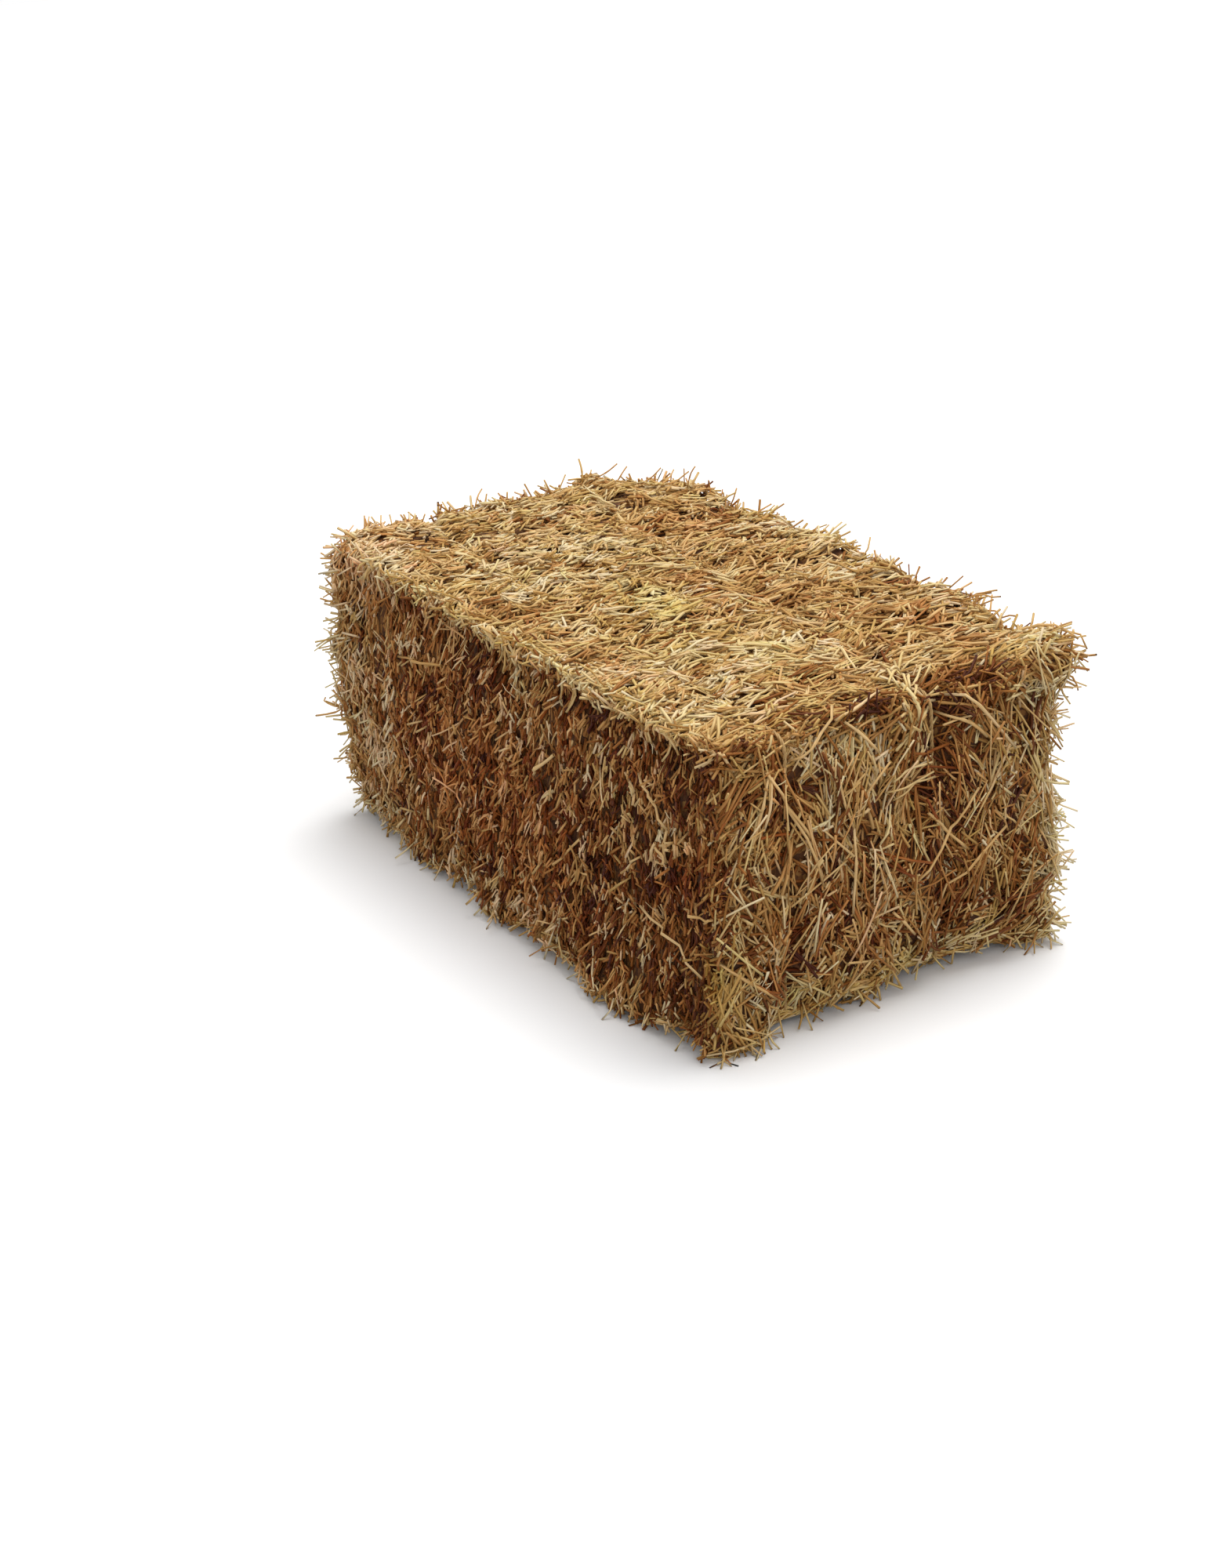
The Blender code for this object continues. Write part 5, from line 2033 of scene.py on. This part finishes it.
@dataclass
class Studio:
    """A pale floor, soft light and a camera that looks down on the near left corner."""

    azimuth_deg: float = 54.907
    elevation_deg: float = 24.509
    distance: float = 3.356
    aim: Triple = (0.0533, -0.1467, 0.18)
    lens_mm: float = 67.72
    sensor_mm: float = 36.0
    floor_size: float = 12.0
    lamps: tuple[tuple[str, Triple, float, float], ...] = (
        ("key", (-0.05, 0.20, 1.0), 2.25, 40.0),
        ("fill", (1.0, -0.40, 0.6), 0.55, 60.0),
    )
    ambient: float = 0.56

    def place_camera(self) -> None:
        """Make the camera and look through it."""
        turn, rise = math.radians(self.azimuth_deg), math.radians(self.elevation_deg)
        back = Vector((math.sin(turn) * math.cos(rise), -math.cos(turn) * math.cos(rise), math.sin(rise)))
        data = bpy.data.cameras.new("camera")
        data.lens = self.lens_mm
        data.sensor_fit = "VERTICAL"
        data.sensor_height = self.sensor_mm
        camera = bpy.data.objects.new("camera", data)
        camera.location = Vector(self.aim) + back * self.distance
        camera.rotation_euler = back.to_track_quat("Z", "Y").to_euler()
        bpy.context.scene.collection.objects.link(camera)
        bpy.context.scene.camera = camera

    def lay_floor(self) -> None:
        """Lay the pale floor that the bale stands on."""
        deselect_all()
        bpy.ops.mesh.primitive_plane_add(size=self.floor_size, location=(0, 0, 0))
        floor = bpy.context.object
        floor.name = "floor"
        floor.data.materials.append(FloorFinish().build())

    def light(self) -> None:
        """Set the lamps and the world."""
        for name, direction, strength, angle in self.lamps:
            data = bpy.data.lights.new(name, "SUN")
            data.energy = strength
            data.angle = math.radians(angle)
            lamp = bpy.data.objects.new(name, data)
            lamp.rotation_euler = Vector(direction).to_track_quat("Z", "Y").to_euler()
            bpy.context.scene.collection.objects.link(lamp)
        world = bpy.data.worlds.new("studio")
        world.use_nodes = True
        tree = world.node_tree
        background = tree.nodes["Background"]
        mix = add_node(
            tree, "Mix", {"data_type": "FLOAT"},
            {"Factor": seen_directly(tree), "A": self.ambient, "B": 1.0},
        )
        background.inputs["Color"].default_value = (1, 1, 1, 1)
        tree.links.new(mix.outputs[0], background.inputs["Strength"])
        bpy.context.scene.world = world
        bpy.context.scene.view_settings.view_transform = "Standard"


def main() -> None:
    """Build the studio and dress every flake and twine."""
    logging.basicConfig(level=logging.INFO, format="%(name)s: %(message)s")
    studio = Studio()
    studio.place_camera()
    studio.lay_floor()
    studio.light()

    block = PressedBlock()
    shapes = StalkBench().all_shapes()
    coat = StrawCoat(block, shapes)
    batches = coat.all_batches()
    dresser = FlakeDresser(block, StrawFinish().build(), ChaffFinish().build())
    for index in range(len(block.flake_names)):
        own = [batch.part(coat.flake_of(batch.middle) == index) for batch in batches]
        dresser.dress(index, own)
    sisal = SisalFinish().build()
    for route in block.routes:
        Twine(block, route, shapes["deep_stalk"], sisal).dress(coat.rng)


if __name__ == "__main__":
    main()
